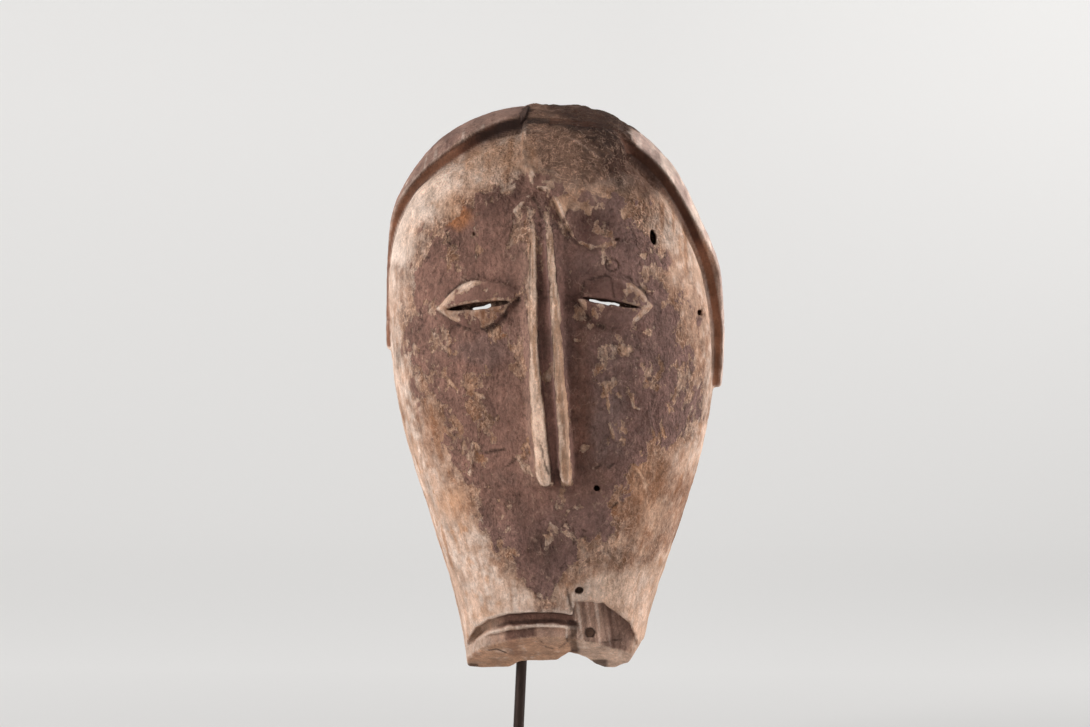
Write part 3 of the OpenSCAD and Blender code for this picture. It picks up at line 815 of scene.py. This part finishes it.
def eye_colours(bare, skin, film, stain):
    """Pale outer bevels, ragged dark edges, painted shade in the slits, and the cracks and scratches."""
    ring = np.abs(np.hypot(px - RING_AT[0], (pz - RING_AT[1]) * 1.15) - RING_R - 0.1)
    dark = 0.9 * ease(1.3 - ring / 0.9)
    for eye in EYES:
        inside = lid_inside(px, pz, eye) + 1.2 * fleck
        across = turned(px, pz, eye["at"], eye["slant"])[1]
        out = (px - eye["at"][0]) * np.sign(eye["at"][0]) / eye["half"]
        upper = ease(0.5 + across / 3)
        spread_out = upper * ease(1.5 * out + 0.5) + (1 - upper) * ease(2 * out - 0.4)
        bevel = eye["worn"] * ease(inside / 1.2) * (1 - ease((inside - 3) / 5)) * spread_out * on_face
        lower_lid = eye["worn"] * ease(inside / 2) * (1 - upper) * on_face
        film = film * (1 - np.clip(bevel + 0.45 * lower_lid, 0, 1) * np.clip(0.95 + 0.6 * mottle, 0, 1))
        stain = stain * (1 - 0.8 * bevel * np.clip(0.9 + 0.8 * mottle, 0, 1))
        edge = ease(1.2 - np.abs(inside + 1.2 * ease(0.8 - out)) / (2 + 1.5 * ease(0.6 - out)))
        weight = np.where(across > 0, ease(0.4 + out), ease(1.4 - out))
        dark = np.maximum(dark, 0.85 * edge * weight * ease(0.45 + 1.5 * mottle + 2 * fleck))
        # Painted shade in the slits.
        dark = np.maximum(dark, 0.75 * ease(slit_inside(px, pz, eye) / 0.6 + 0.6))
    for crack in CRACKS:
        dark = np.maximum(dark, 0.85 * ease(1.35 - line_distance(px, pz, crack) + 0.8 * fleck))
    flake = line_distance(px, pz, FLAKE_EDGE)
    under_flake = ease(1.3 - np.abs(flake - 2.2) / 1.3) * ease(level(px, FLAKE_EDGE) - pz + 0.5)
    dark = np.maximum(dark, 0.45 * under_flake) * on_face
    clear = 0.7 * ease(1.1 - flake / 1.6 + 0.6 * fleck) * np.clip(0.75 + 0.9 * mottle + 0.9 * fleck, 0, 1)
    for scratch in SCRATCHES:
        clear = np.maximum(clear, 0.9 * ease(1.5 - line_distance(px, pz, scratch) / 1.1) * (0.9 + fleck))
    for fold in FOLDS:
        clear = np.maximum(clear, 0.9 * ease(1.2 - line_distance(px, pz, fold) / 2.2) * (1 + fleck))
    clear = np.clip(clear * on_face, 0, 1)
    film = film * (1 - 0.85 * clear)
    stain = stain * (1 - 0.6 * clear)
    return lay(CHOCOLATE, bare, dark), lay(CHOCOLATE, skin, dark), film, stain


def chin_colours(bare, film, stain):
    """The mouth, dark with its patina and with painted shade in its recess, a painted shadow under the lip's
    edge, the ridge and band below it, the fibrous break and the slanted end cut.
    """
    drop = lip_drop(px, pz)
    on_front = ease((-py - 25) / 8)
    left = left_of_break(px, pz) * on_front
    foot = ease((below_cut(py, pz) + 1.6) / 1.2) * outer * ease((60 - pz) / 10)
    middle = ease((px + 46) / 18)
    mouth = ease(drop / 1.2) * (1 - ease((drop - 9.6) / 1.2)) * left
    stripe = 0.8 * ease(1.4 - np.abs(drop - 8) / 1.8) * ease(0.9 + mottle) * middle
    # Painted shadow just under the lip's edge.
    lip_shadow = (0.2 + 0.5 * middle) * ease(1.5 - np.abs(drop - 1.5))
    ridge = ease(1.3 - np.abs(drop - 11) / 1.1) * left
    band = ease((drop - 12) / 1.2) * left * ease((px + 54) / 12) * (1 - foot)
    dark_part = ease((px + 35) / 5) * ease((-8 - px) / 4)
    lip_edge = ease(1.4 - np.abs(drop + 0.4)) * left
    broken = ease(break_fall(px, pz) / 2) * (1 - left_of_break(px, pz)) * on_front
    threads = ripple(px + 0.12 * pz, pz, (2.2, 1, 50), 28, 3)
    peg_ring = np.hypot(px - PEG_X, pz - PEG_Z) - PEG_R
    scallop = ease(1.5 - 1.2 * np.hypot((px - 2) / 12, (pz - 30) / 9)) * left
    bare = lay_all(bare, (
        (TAN, 0.7 * mouth),
        # The mouth's colour is partly patina and partly painted shade in its recess.
        (MOUTH, mouth * middle),
        (CHOCOLATE, mouth * np.maximum(stripe, lip_shadow)),
        (CREAM, 0.3 * ridge * (1 + fleck)),
        (LOWER_LIP, 0.9 * band * (0.9 + 0.4 * mottle)),
        (DARK_RED, 0.85 * band * dark_part),
        (CREAM, 0.6 * lip_edge),
        (BROKEN, broken),
        (CREAM, 0.7 * broken * ease(3.5 * threads - 0.5) * ease((48 - px) / 6)),
        (CHOCOLATE, 0.5 * broken * ease(0.1 - 2.2 * threads)),
        (DARK_RED, 0.6 * broken * ease((px - 38) / 6 + mottle)),
        (BLACK_BROWN, 0.9 * ease(1.2 - peg_ring / 1.1) * on_front),
        (CUT_WOOD, foot),
        (RED_BROWN, 0.5 * foot * ease(1.8 * mottle - 0.1)),
        (CREAM, 0.4 * foot * ease(2 * fleck - 0.3) + 0.35 * foot * (px > 20)),
        (TAN, 0.5 * scallop * foot),
    ))
    for line in CHIN_CRACKS:
        crack = ease(1.2 - line_distance(px, pz, line) / 0.8) * ease((-py - 8) / 6)
        bare = lay(CHOCOLATE, bare, crack * (0.5 + fleck))
    chip = ease((px + 8) / 1.5) * ease((12.5 - px) / 1.5) * ease(drop - 11.5) * (1 - foot) * left
    notch = in_notch(px, pz) * on_front
    right_lump = ease((px - 28) / 2) * ease((42 - px) / 3) * ease((9.5 - pz) / 1.5)
    left_lump = ease((-55.5 - px) / 2) * ease((4.5 - pz) / 1.5)
    bare = lay_all(bare, (
        (BROKEN, 0.6 * chip),
        (CREAM, 0.8 * ease(1.3 - line_distance(px, pz, CHIP_FRAME) / 0.9) * left),
        (CHOCOLATE, notch * (0.75 + 0.6 * mottle)),
        (CHOCOLATE, 0.8 * (right_lump + left_lump) * outer),
    ))
    plain = 1 - np.clip(mouth + ridge + band + broken + foot + notch, 0, 1)
    return bare, film * plain, stain * plain


def coif_colours(bare, film, stain):
    """The crust at the crown, the coif's worn outside with painted light on its right, and the dark step in
    front of it, with painted shade and shadow in and round the step.
    """
    right = px > 0
    swirl = np.stack([np.hypot(px + 20, pz - 320), 0 * px, 45 * np.arctan2(px + 20, pz - 320)], -1)
    fibrous = layered(swirl, (3.2, 1, 16), 29, 3)
    light = ease(0.62 - (pz - 385) / 42 - (px - 22) / 36 + 0.35 * fibrous + 0.7 * ragged + 0.4 * fleck)
    matted = lay(CRUST_FIBRE, CRUST, light)
    matted = lay(CREAM, matted, 0.1 * ease(2.6 * fibrous - 0.5) * (0.3 + light))
    band = on_coif * (1 - crust)
    # Painted shadow of the coif's step, cast onto the face in front of it.
    step_shadow = np.exp(-np.maximum(ahead, 0) / 4) * ease(above_end / 6) * ease(ahead + 1)
    step_shadow = step_shadow * outer * (1 - crust) * (1 - step)
    # Painted shade in the deep corner in front of the coif at the upper right.
    corner = ease(2.2 * near(59, 363, 22, 16) - 0.2 + 0.5 * ragged + 0.3 * fleck) * ease(ahead / 2 + 2.5)
    corner = corner * ease((46 - ahead + 12 * ragged) / 24) * near_face
    # A dark block under the coif's left end: partly dark patina, partly painted shadow.
    block_low = 386.8 + 0.237 * (px + 57)
    block = ease((px + 62) / 12) * ease((-15.5 - px) / 1.5) * ease((pz - block_low) / 2)
    block = block * ease((block_low + 11 + 2 * fleck - pz) / 3) * ease((ahead + 16) / 3) * outer
    # Painted shade on the brow under the coif's left end.
    under_coif = blotch(-46, 379, 24, 14, coarse=0.4) * (1 - step) * (1 - on_coif)
    bare = lay_all(bare, (
        (matted, crust),
        # The coif's outside is paler on the right, partly in its colour and partly as painted light from the
        # right light.
        (lay(ROSE_GREY, TAUPE, ease(0.5 + px / 30)), band),
        (CREAM, 0.7 * band * ease(1.6 * streak + 1.4 * mottle - 0.5 + 0.7 * right)),
        (PLUM, 0.5 * band * ease(-1.5 * mottle - 1.2 * streak - 0.1 - 0.3 * right)),
        # The step's dark colour: partly patina, partly painted shade.
        (BLACK_BROWN, step),
        (RED_BROWN, step * (0.6 * ease((-36 - px) / 14) + 0.45 * right)),
        (COIF_BROWN, 0.6 * step * ease((-62 - px) / 14) * ease(ahead / 2 + 1)),
        (COIF_BROWN, 0.85 * step * right * ease((322 - pz) / 24)),
        # Painted shadow in front of the step.
        (RED_BROWN, (0.5 - 0.35 * ease((-55 - px) / 15)) * step_shadow),
        # Painted shade in the deep corner.
        (CHOCOLATE, 0.8 * corner * outer),
        (RED_BROWN, 0.3 * corner * outer),
        (BLACK_BROWN, 0.75 * block),
        (OCHRE, 0.6 * under_coif * outer),
    ))
    plain = (1 - crust) * (1 - on_coif) * (1 - step) * (1 - step_shadow) * (1 - corner) * (1 - block)
    return bare, film * plain, stain * plain


def paint():
    """Colours of the bare wood and of its film at each point, and how film, stain and roughness cover it."""
    bare, skin, film, stain = eye_colours(*nose_colours(*face_colours()))
    bare, film, stain = coif_colours(*chin_colours(bare, film, stain))
    on_chin = ease((60 - pz) / 10) * ease((-py - 20) / 8)
    cliff = ease(1.6 - np.abs(px - WORN_LEFT_X) / 4) * ease((pz - 385) / 8)
    on_lids = sum(ease(lid_inside(px, pz, eye) / 3) for eye in EYES) * on_face
    under_crust = ease((pz - 345) / 15) * ease((px + 24) / 8) * ease((82 - px) / 8)
    chipped = worn_edge * outer * (1 - crust) * (1 - under_crust)
    chipped = chipped * (1 - 0.8 * on_chin) * (1 - cliff) * (1 - 0.7 * on_lids)
    inside_wood = np.maximum(inner, rim)
    bare = lay_all(bare, (
        (CHOCOLATE, 0.85 * cliff * outer * ease(normals[:, 0] * 2 + 0.5)),
        (CREAM, 0.6 * chipped * (0.8 + 0.5 * fleck)),
        # Dirt and painted shade in the hollow bends.
        (CHOCOLATE, 0.45 * dirt_and_shade * outer * (1 - 0.9 * crust)),
        (RAW_WOOD, inside_wood),
        (CHOCOLATE, 0.35 * inner * ease(-py / 80)),
    ))
    in_groove = ease(nose_beside(px, pz)[1] + 2) * on_face
    # Dirt and painted shade in the hollow bends of the film.
    skin = lay(CHOCOLATE, skin, 0.55 * dirt_and_shade * (1 - 0.8 * in_groove))
    plain = (1 - inside_wood) * (1 - 0.7 * chipped)
    half_covered = 4 * film * (1 - film) * (1 - inside_wood)
    brow = ease((pz - 300) / 25) * ease(0.8 + wide) * on_face
    rough = 0.34 + 0.2 * wide + 0.35 * half_covered + 0.5 * brow + 0.9 * crust
    rough = rough * (1 - 0.8 * step) * (1 - 0.5 * on_coif) * (1 - 0.6 * on_lids)
    return bare, skin, np.stack([film * plain, stain * plain, rough], -1)


def set_colours(piece, name, values):
    """Stores a colour at each point of a piece."""
    layer = piece.data.attributes.new(name, "FLOAT_COLOR", "POINT")
    full = np.concatenate([values, np.ones((len(values), 1))], 1)
    layer.data.foreach_set("color", full.astype(np.float32).ravel())


# Materials

MESH_COLOURS = ("bare", "film", "marks")
# The range that a noise fills for the most part.
NOISE_LOW = 0.3
NOISE_HIGH = 0.7


def new_material(name):
    """An empty material with its shader and output."""
    material = bpy.data.materials.new(name)
    material.use_nodes = True
    return material, material.node_tree, material.node_tree.nodes["Principled BSDF"]


def add(tree, kind, **inputs):
    """A node with some inputs set; names have underscores for spaces."""
    node = tree.nodes.new(kind)
    for key, value in inputs.items():
        node.inputs[key.replace("_", " ")].default_value = value
    return node


def grain(tree, scale, detail=5.0, stretch=(1, 1, 1), rough=0.6):
    """A noise in object space. Scale is features per metre."""
    place = tree.nodes.new("ShaderNodeTexCoord")
    stretched = add(tree, "ShaderNodeMapping", Scale=stretch)
    source = add(tree, "ShaderNodeTexNoise", Scale=scale, Detail=detail, Roughness=rough)
    tree.links.new(place.outputs["Object"], stretched.inputs["Vector"])
    tree.links.new(stretched.outputs["Vector"], source.inputs["Vector"])
    return source.outputs["Fac"]


def remap(tree, value, low, high, to_low, to_high):
    """A value carried from one range to another."""
    node = tree.nodes.new("ShaderNodeMapRange")
    for key, number in (("From Min", low), ("From Max", high), ("To Min", to_low), ("To Max", to_high)):
        node.inputs[key].default_value = number
    tree.links.new(value, node.inputs["Value"])
    return node.outputs["Result"]


def calculate(tree, operation, first, second):
    """One sum on two values, each a socket or a number."""
    node = tree.nodes.new("ShaderNodeMath")
    node.operation = operation
    for socket, value in zip(node.inputs, (first, second)):
        if isinstance(value, bpy.types.NodeSocket):
            tree.links.new(value, socket)
        else:
            socket.default_value = value
    return node.outputs["Value"]


def multiply(tree, first, second):
    return calculate(tree, "MULTIPLY", first, second)


def blend_colours(tree, mode, amount, first, second):
    """Two colours mixed. Each may be a socket or a colour, and the amount a socket or a number."""
    node = tree.nodes.new("ShaderNodeMix")
    node.data_type = "RGBA"
    node.blend_type = mode
    for slot_name, value in (("Factor_Float", amount), ("A_Color", first), ("B_Color", second)):
        socket = next(s for s in node.inputs if s.identifier == slot_name)
        if isinstance(value, bpy.types.NodeSocket):
            tree.links.new(value, socket)
        else:
            socket.default_value = value
    return next(s for s in node.outputs if s.identifier == "Result_Color")


def bump(tree, shader, height, distance, strength=1.0):
    """Relief from a height, in metres."""
    node = add(tree, "ShaderNodeBump", Strength=strength, Distance=distance)
    tree.links.new(height, node.inputs["Height"])
    tree.links.new(node.outputs["Normal"], shader.inputs["Normal"])


def crackle(tree, scale, sway):
    """Distance to a net of cracks, bent by a noise. Scale is cells per metre, sway in metres."""
    place = tree.nodes.new("ShaderNodeTexCoord")
    bend = add(tree, "ShaderNodeTexNoise", Scale=2 * scale, Detail=3)
    bent = tree.nodes.new("ShaderNodeVectorMath")
    bent.operation = "MULTIPLY_ADD"
    bent.inputs[1].default_value = (sway, sway, sway)
    net = add(tree, "ShaderNodeTexVoronoi", Scale=scale)
    net.feature = "DISTANCE_TO_EDGE"
    tree.links.new(place.outputs["Object"], bend.inputs["Vector"])
    tree.links.new(bend.outputs["Color"], bent.inputs[0])
    tree.links.new(place.outputs["Object"], bent.inputs[2])
    tree.links.new(bent.outputs["Vector"], net.inputs["Vector"])
    return net.outputs["Distance"]


def close_to(tree, value, middle, reach):
    """1 where a value is at the middle, falling to 0 over the reach."""
    off = calculate(tree, "ABSOLUTE", calculate(tree, "SUBTRACT", value, middle), 0.0)
    return remap(tree, off, 0.0, reach, 1.0, 0.0)


def swing(tree, source, low, high):
    """A noise carried to a range, which it just fills."""
    return remap(tree, source, NOISE_LOW, NOISE_HIGH, low, high)


def shade(tree, colour, by, amount=1.0):
    """A colour multiplied by another or by a value."""
    return blend_colours(tree, "MULTIPLY", amount, colour, by)


def cover(tree, colour, new, amount):
    """A plain colour laid over another by an amount."""
    return blend_colours(tree, "MIX", amount, colour, (*new, 1))


def mesh_colour(tree, name):
    """A colour stored at the points of the mesh."""
    node = tree.nodes.new("ShaderNodeAttribute")
    node.attribute_name = name
    return node.outputs["Color"]


def carved_wood():
    """Old wood, stained brown, under a flaking film. The mesh gives the colours and how far each covers."""
    material, tree, shader = new_material("carved_wood")
    bare, film, marks = (mesh_colour(tree, name) for name in MESH_COLOURS)
    amount = tree.nodes.new("ShaderNodeSeparateColor")
    tree.links.new(marks, amount.inputs["Color"])
    filmed, stained, rough = (amount.outputs[name] for name in ("Red", "Green", "Blue"))

    patches = grain(tree, 50, 5, (1, 1, 0.8))
    flakes = grain(tree, 150, 6, (1, 1, 0.75), 0.68)
    curls = grain(tree, 330, 3, (1, 1, 0.8))
    specks = grain(tree, 850, 2, (1, 1, 0.8))
    fibres = grain(tree, 420, 4, (1, 1, 0.2), 0.65)
    worms = grain(tree, 240, 2, (1, 1, 0.85), 0.5)

    # Fibrous wood, soaked with stain in places.
    wood = shade(tree, bare, swing(tree, fibres, 0.72, 1.22), 0.6)
    brown = shade(tree, wood, (*STAIN, 1))
    loose = swing(tree, flakes, -0.45, 0.45)
    soaked = remap(tree, calculate(tree, "ADD", stained, loose), 0.1, 0.9, 0.0, 1.0)
    colour = blend_colours(tree, "MIX", soaked, wood, brown)

    # The film, torn in flakes, with a pale border.
    torn = calculate(tree, "ADD", swing(tree, patches, -0.7, 0.7), swing(tree, flakes, -0.25, 0.25))
    torn = calculate(tree, "ADD", filmed, torn)
    some_film = remap(tree, filmed, 0.03, 0.14, 0.0, 1.0)
    skin = multiply(tree, remap(tree, torn, 0.42, 0.5, 0.0, 0.9), some_film)
    colour = blend_colours(tree, "MIX", skin, colour, film)
    border = multiply(tree, close_to(tree, torn, 0.45, 0.05), remap(tree, curls, 0.4, 0.56, 0.1, 0.7))
    colour = cover(tree, colour, TAN, multiply(tree, border, some_film))
    colour = shade(tree, colour, swing(tree, grain(tree, 60, 6, (1, 1, 0.8), 0.62), 0.66, 1.36))

    # Pale threads, partly fibres and partly painted highlights on the fine relief, and dark furrows on the
    # rough parts.
    thread = multiply(tree, close_to(tree, worms, 0.53, 0.05), remap(tree, flakes, 0.4, 0.52, 0.0, 0.8))
    thread = multiply(tree, thread, remap(tree, skin, 0.0, 0.9, 1.0, 0.16))
    covered = multiply(tree, rough, remap(tree, stained, 0.3, 0.9, 0.15, 1.0))
    colour = cover(tree, colour, TAN, multiply(tree, thread, covered))
    colour = shade(tree, colour, remap(tree, multiply(tree, thread, rough), 0.0, 1.0, 1.0, 1.7))
    furrow = multiply(tree, close_to(tree, worms, 0.42, 0.05), remap(tree, flakes, 0.58, 0.46, 0.0, 0.7))
    colour = cover(tree, colour, PLUM, multiply(tree, furrow, covered))

    # Fine edges, seams, cracks and pits.
    edges = close_to(tree, grain(tree, 60, 3, (1, 1, 0.7), 0.55), 0.5, 0.014)
    edges = multiply(tree, edges, remap(tree, flakes, 0.48, 0.58, 0.0, 0.35))
    colour = cover(tree, colour, TAN, multiply(tree, edges, remap(tree, rough, 0.12, 0.3, 0.0, 1.0)))
    seams = close_to(tree, grain(tree, 80, 3, (1, 1, 0.6), 0.55), 0.48, 0.014)
    seams = multiply(tree, seams, remap(tree, flakes, 0.54, 0.44, 0.0, 0.9))
    net = remap(tree, crackle(tree, 60, 0.02), 0.0, 0.06, 0.45, 0.0)
    net = multiply(tree, net, remap(tree, patches, 0.45, 0.6, 0.0, 1.0))
    pits = multiply(tree, remap(tree, curls, 0.42, 0.3, 0.0, 0.8), remap(tree, flakes, 0.55, 0.4, 0.0, 1.0))
    for mark in (seams, net, pits):
        colour = cover(tree, colour, CHOCOLATE, multiply(tree, mark, covered))
    colour = shade(tree, colour, swing(tree, specks, 0.84, 1.16))
    colour = shade(tree, colour, remap(tree, curls, 0.35, 0.65, 0.7, 1.3), covered)
    tree.links.new(colour, shader.inputs["Base Color"])
    tree.links.new(swing(tree, specks, 0.72, 0.92), shader.inputs["Roughness"])
    shader.inputs["Specular IOR Level"].default_value = 0.25

    coarse = calculate(tree, "ADD", multiply(tree, flakes, 5.0), multiply(tree, curls, 2.5))
    relief = multiply(tree, calculate(tree, "ADD", coarse, multiply(tree, specks, 0.5)), rough)
    relief = calculate(tree, "ADD", relief, multiply(tree, skin, 0.45))
    bump(tree, shader, relief, 0.0012)
    return material


def two_tone(name, first, second, scale, stretch, roughness, relief, metallic=0.0):
    """A finish whose colour, roughness and relief all vary with one grain."""
    material, tree, shader = new_material(name)
    value = grain(tree, scale, 6, stretch, 0.65)
    colour = blend_colours(tree, "MIX", swing(tree, value, 0.0, 1.0), (*first, 1), (*second, 1))
    tree.links.new(colour, shader.inputs["Base Color"])
    tree.links.new(swing(tree, value, *roughness), shader.inputs["Roughness"])
    shader.inputs["Metallic"].default_value = metallic
    bump(tree, shader, value, relief)
    return material


mask = mesh_object("mask_carving", (carved_points * MM + MASK_AT).tolist(), quads.tolist(), carved_wood())
for layer_name, values in zip(MESH_COLOURS, paint()):
    set_colours(mask, layer_name, values)
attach(mask, "mask")
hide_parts("carved_mask")

# Finishes of the stand and the peg: two colours, features per metre, stretch, roughness, relief, metal.
EVEN = (1, 1, 1)
dark_steel = two_tone("dark_steel", tint(46, 35, 32), tint(66, 52, 46), 300, (1, 1, 0.3), (0.35, 0.55),
                      0.0001, 0.7)
soft_sleeve = two_tone("soft_sleeve", tint(34, 32, 31), tint(50, 47, 45), 900, EVEN, (0.7, 0.9), 0.0002)
base_paint = two_tone("base_paint", tint(228, 226, 221), tint(219, 216, 211), 500, EVEN, (0.4, 0.5), 0.0001)
felt = two_tone("felt", tint(96, 92, 87), tint(74, 71, 67), 1500, EVEN, (0.9, 1.0), 0.0006)
peg_wood = two_tone("peg_wood", tint(70, 47, 38), tint(112, 80, 62), 800, (1, 0.2, 1), (0.7, 0.9), 0.0004)
FINISHES = {
    "lip_peg": peg_wood, "post": dark_steel, "cross_bar": dark_steel, "crook_sleeve": soft_sleeve,
    "chin_sleeve": soft_sleeve, "rim_cap_left": soft_sleeve, "rim_cap_right": soft_sleeve,
    "base_block": base_paint, "base_felt": felt,
}
for node_name, finish in FINISHES.items():
    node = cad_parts[node_name]
    for place in node.material_slots:
        place.material = finish

# Camera: level, a little to the right of the front, at the picture's scale.
LENS = 85
AZIMUTH = math.radians(3.6)
DISTANCE = 1.93
AIM = Vector(MASK_AT) + Vector((-6.75, 0, 228.4)) * MM
camera = bpy.data.objects.new("camera", bpy.data.cameras.new("camera"))
bpy.context.collection.objects.link(camera)
camera.data.lens = LENS
camera.data.sensor_width = 36
camera.data.clip_start = 0.01
camera.location = AIM + DISTANCE * Vector((math.sin(AZIMUTH), -math.cos(AZIMUTH), 0))
camera.rotation_euler = (math.pi / 2, 0, AZIMUTH)
bpy.context.scene.camera = camera
bpy.context.scene.view_settings.view_transform = "Standard"

# Studio: a pale floor that curves up into a wall all round, and soft lights.
FLOOR_R = 2.4
SWEEP_R = 0.8
WALL_TOP = 3.2
TURNS = 96


def studio_bowl(material):
    """A floor disc, a round sweep and a wall, turned round the object's axis."""
    sweep = [math.pi / 2 * i / 12 for i in range(13)]
    profile = [(0.6, 0.0), (1.5, 0.0)]
    profile += [(FLOOR_R + SWEEP_R * math.sin(a), SWEEP_R * (1 - math.cos(a))) for a in sweep]
    profile.append((FLOOR_R + SWEEP_R, WALL_TOP))
    angles = 2 * np.pi * np.arange(TURNS) / TURNS
    verts = [(r * math.cos(a), r * math.sin(a), h) for r, h in profile for a in angles]
    verts.append((0, 0, 0))
    faces = [(len(verts) - 1, i, (i + 1) % TURNS) for i in range(TURNS)]
    for row in range(len(profile) - 1):
        for i in range(TURNS):
            j = (i + 1) % TURNS
            faces.append((row * TURNS + i, (row + 1) * TURNS + i, (row + 1) * TURNS + j, row * TURNS + j))
    return mesh_object("studio", verts, faces, material)


def studio_paint():
    """Pale seamless paper that glows with painted light, more strongly behind the object, and most of all at
    its upper right.
    """
    material, tree, shader = new_material("studio_paper")
    shader.inputs["Base Color"].default_value = (0.4, 0.395, 0.39, 1)
    shader.inputs["Roughness"].default_value = 0.95
    shader.inputs["Specular IOR Level"].default_value = 0.0
    shader.inputs["Emission Color"].default_value = (1.0, 0.99, 0.975, 1)
    place = tree.nodes.new("ShaderNodeTexCoord")
    parts = tree.nodes.new("ShaderNodeSeparateXYZ")
    tree.links.new(place.outputs["Object"], parts.inputs["Vector"])
    glow = remap(tree, parts.outputs["Y"], -1.6, 0.6, 0.07, 0.5)
    height = calculate(tree, "ADD", parts.outputs["Z"], multiply(tree, parts.outputs["Y"], 0.33))
    rise = remap(tree, height, 0.08, 2.08, -1.0, 1.0)
    tilt = multiply(tree, rise, remap(tree, parts.outputs["X"], 0.0, 1.0, 0.1, 0.34))
    glow = multiply(tree, glow, calculate(tree, "ADD", tilt, 1.0))
    tree.links.new(glow, shader.inputs["Emission Strength"])
    return material


studio_bowl(studio_paint())


def soft_light(name, place, aim, size, power):
    """A large square light, unseen by the camera."""
    light = bpy.data.lights.new(name, "AREA")
    light.size = size
    light.energy = power
    lamp = bpy.data.objects.new(name, light)
    lamp.location = place
    lamp.rotation_euler = (Vector(aim) - Vector(place)).to_track_quat("-Z", "Y").to_euler()
    lamp.visible_camera = False
    bpy.context.collection.objects.link(lamp)


soft_light("left_light", (-1.6, -0.9, 0.85), AIM, 0.8, 27)
soft_light("right_light", (1.75, 0.05, 0.75), AIM, 0.8, 24)
world = bpy.data.worlds.new("studio_air")
world.use_nodes = True
world.node_tree.nodes["Background"].inputs["Color"].default_value = (1, 1, 1, 1)
world.node_tree.nodes["Background"].inputs["Strength"].default_value = 0.1
bpy.context.scene.world = world
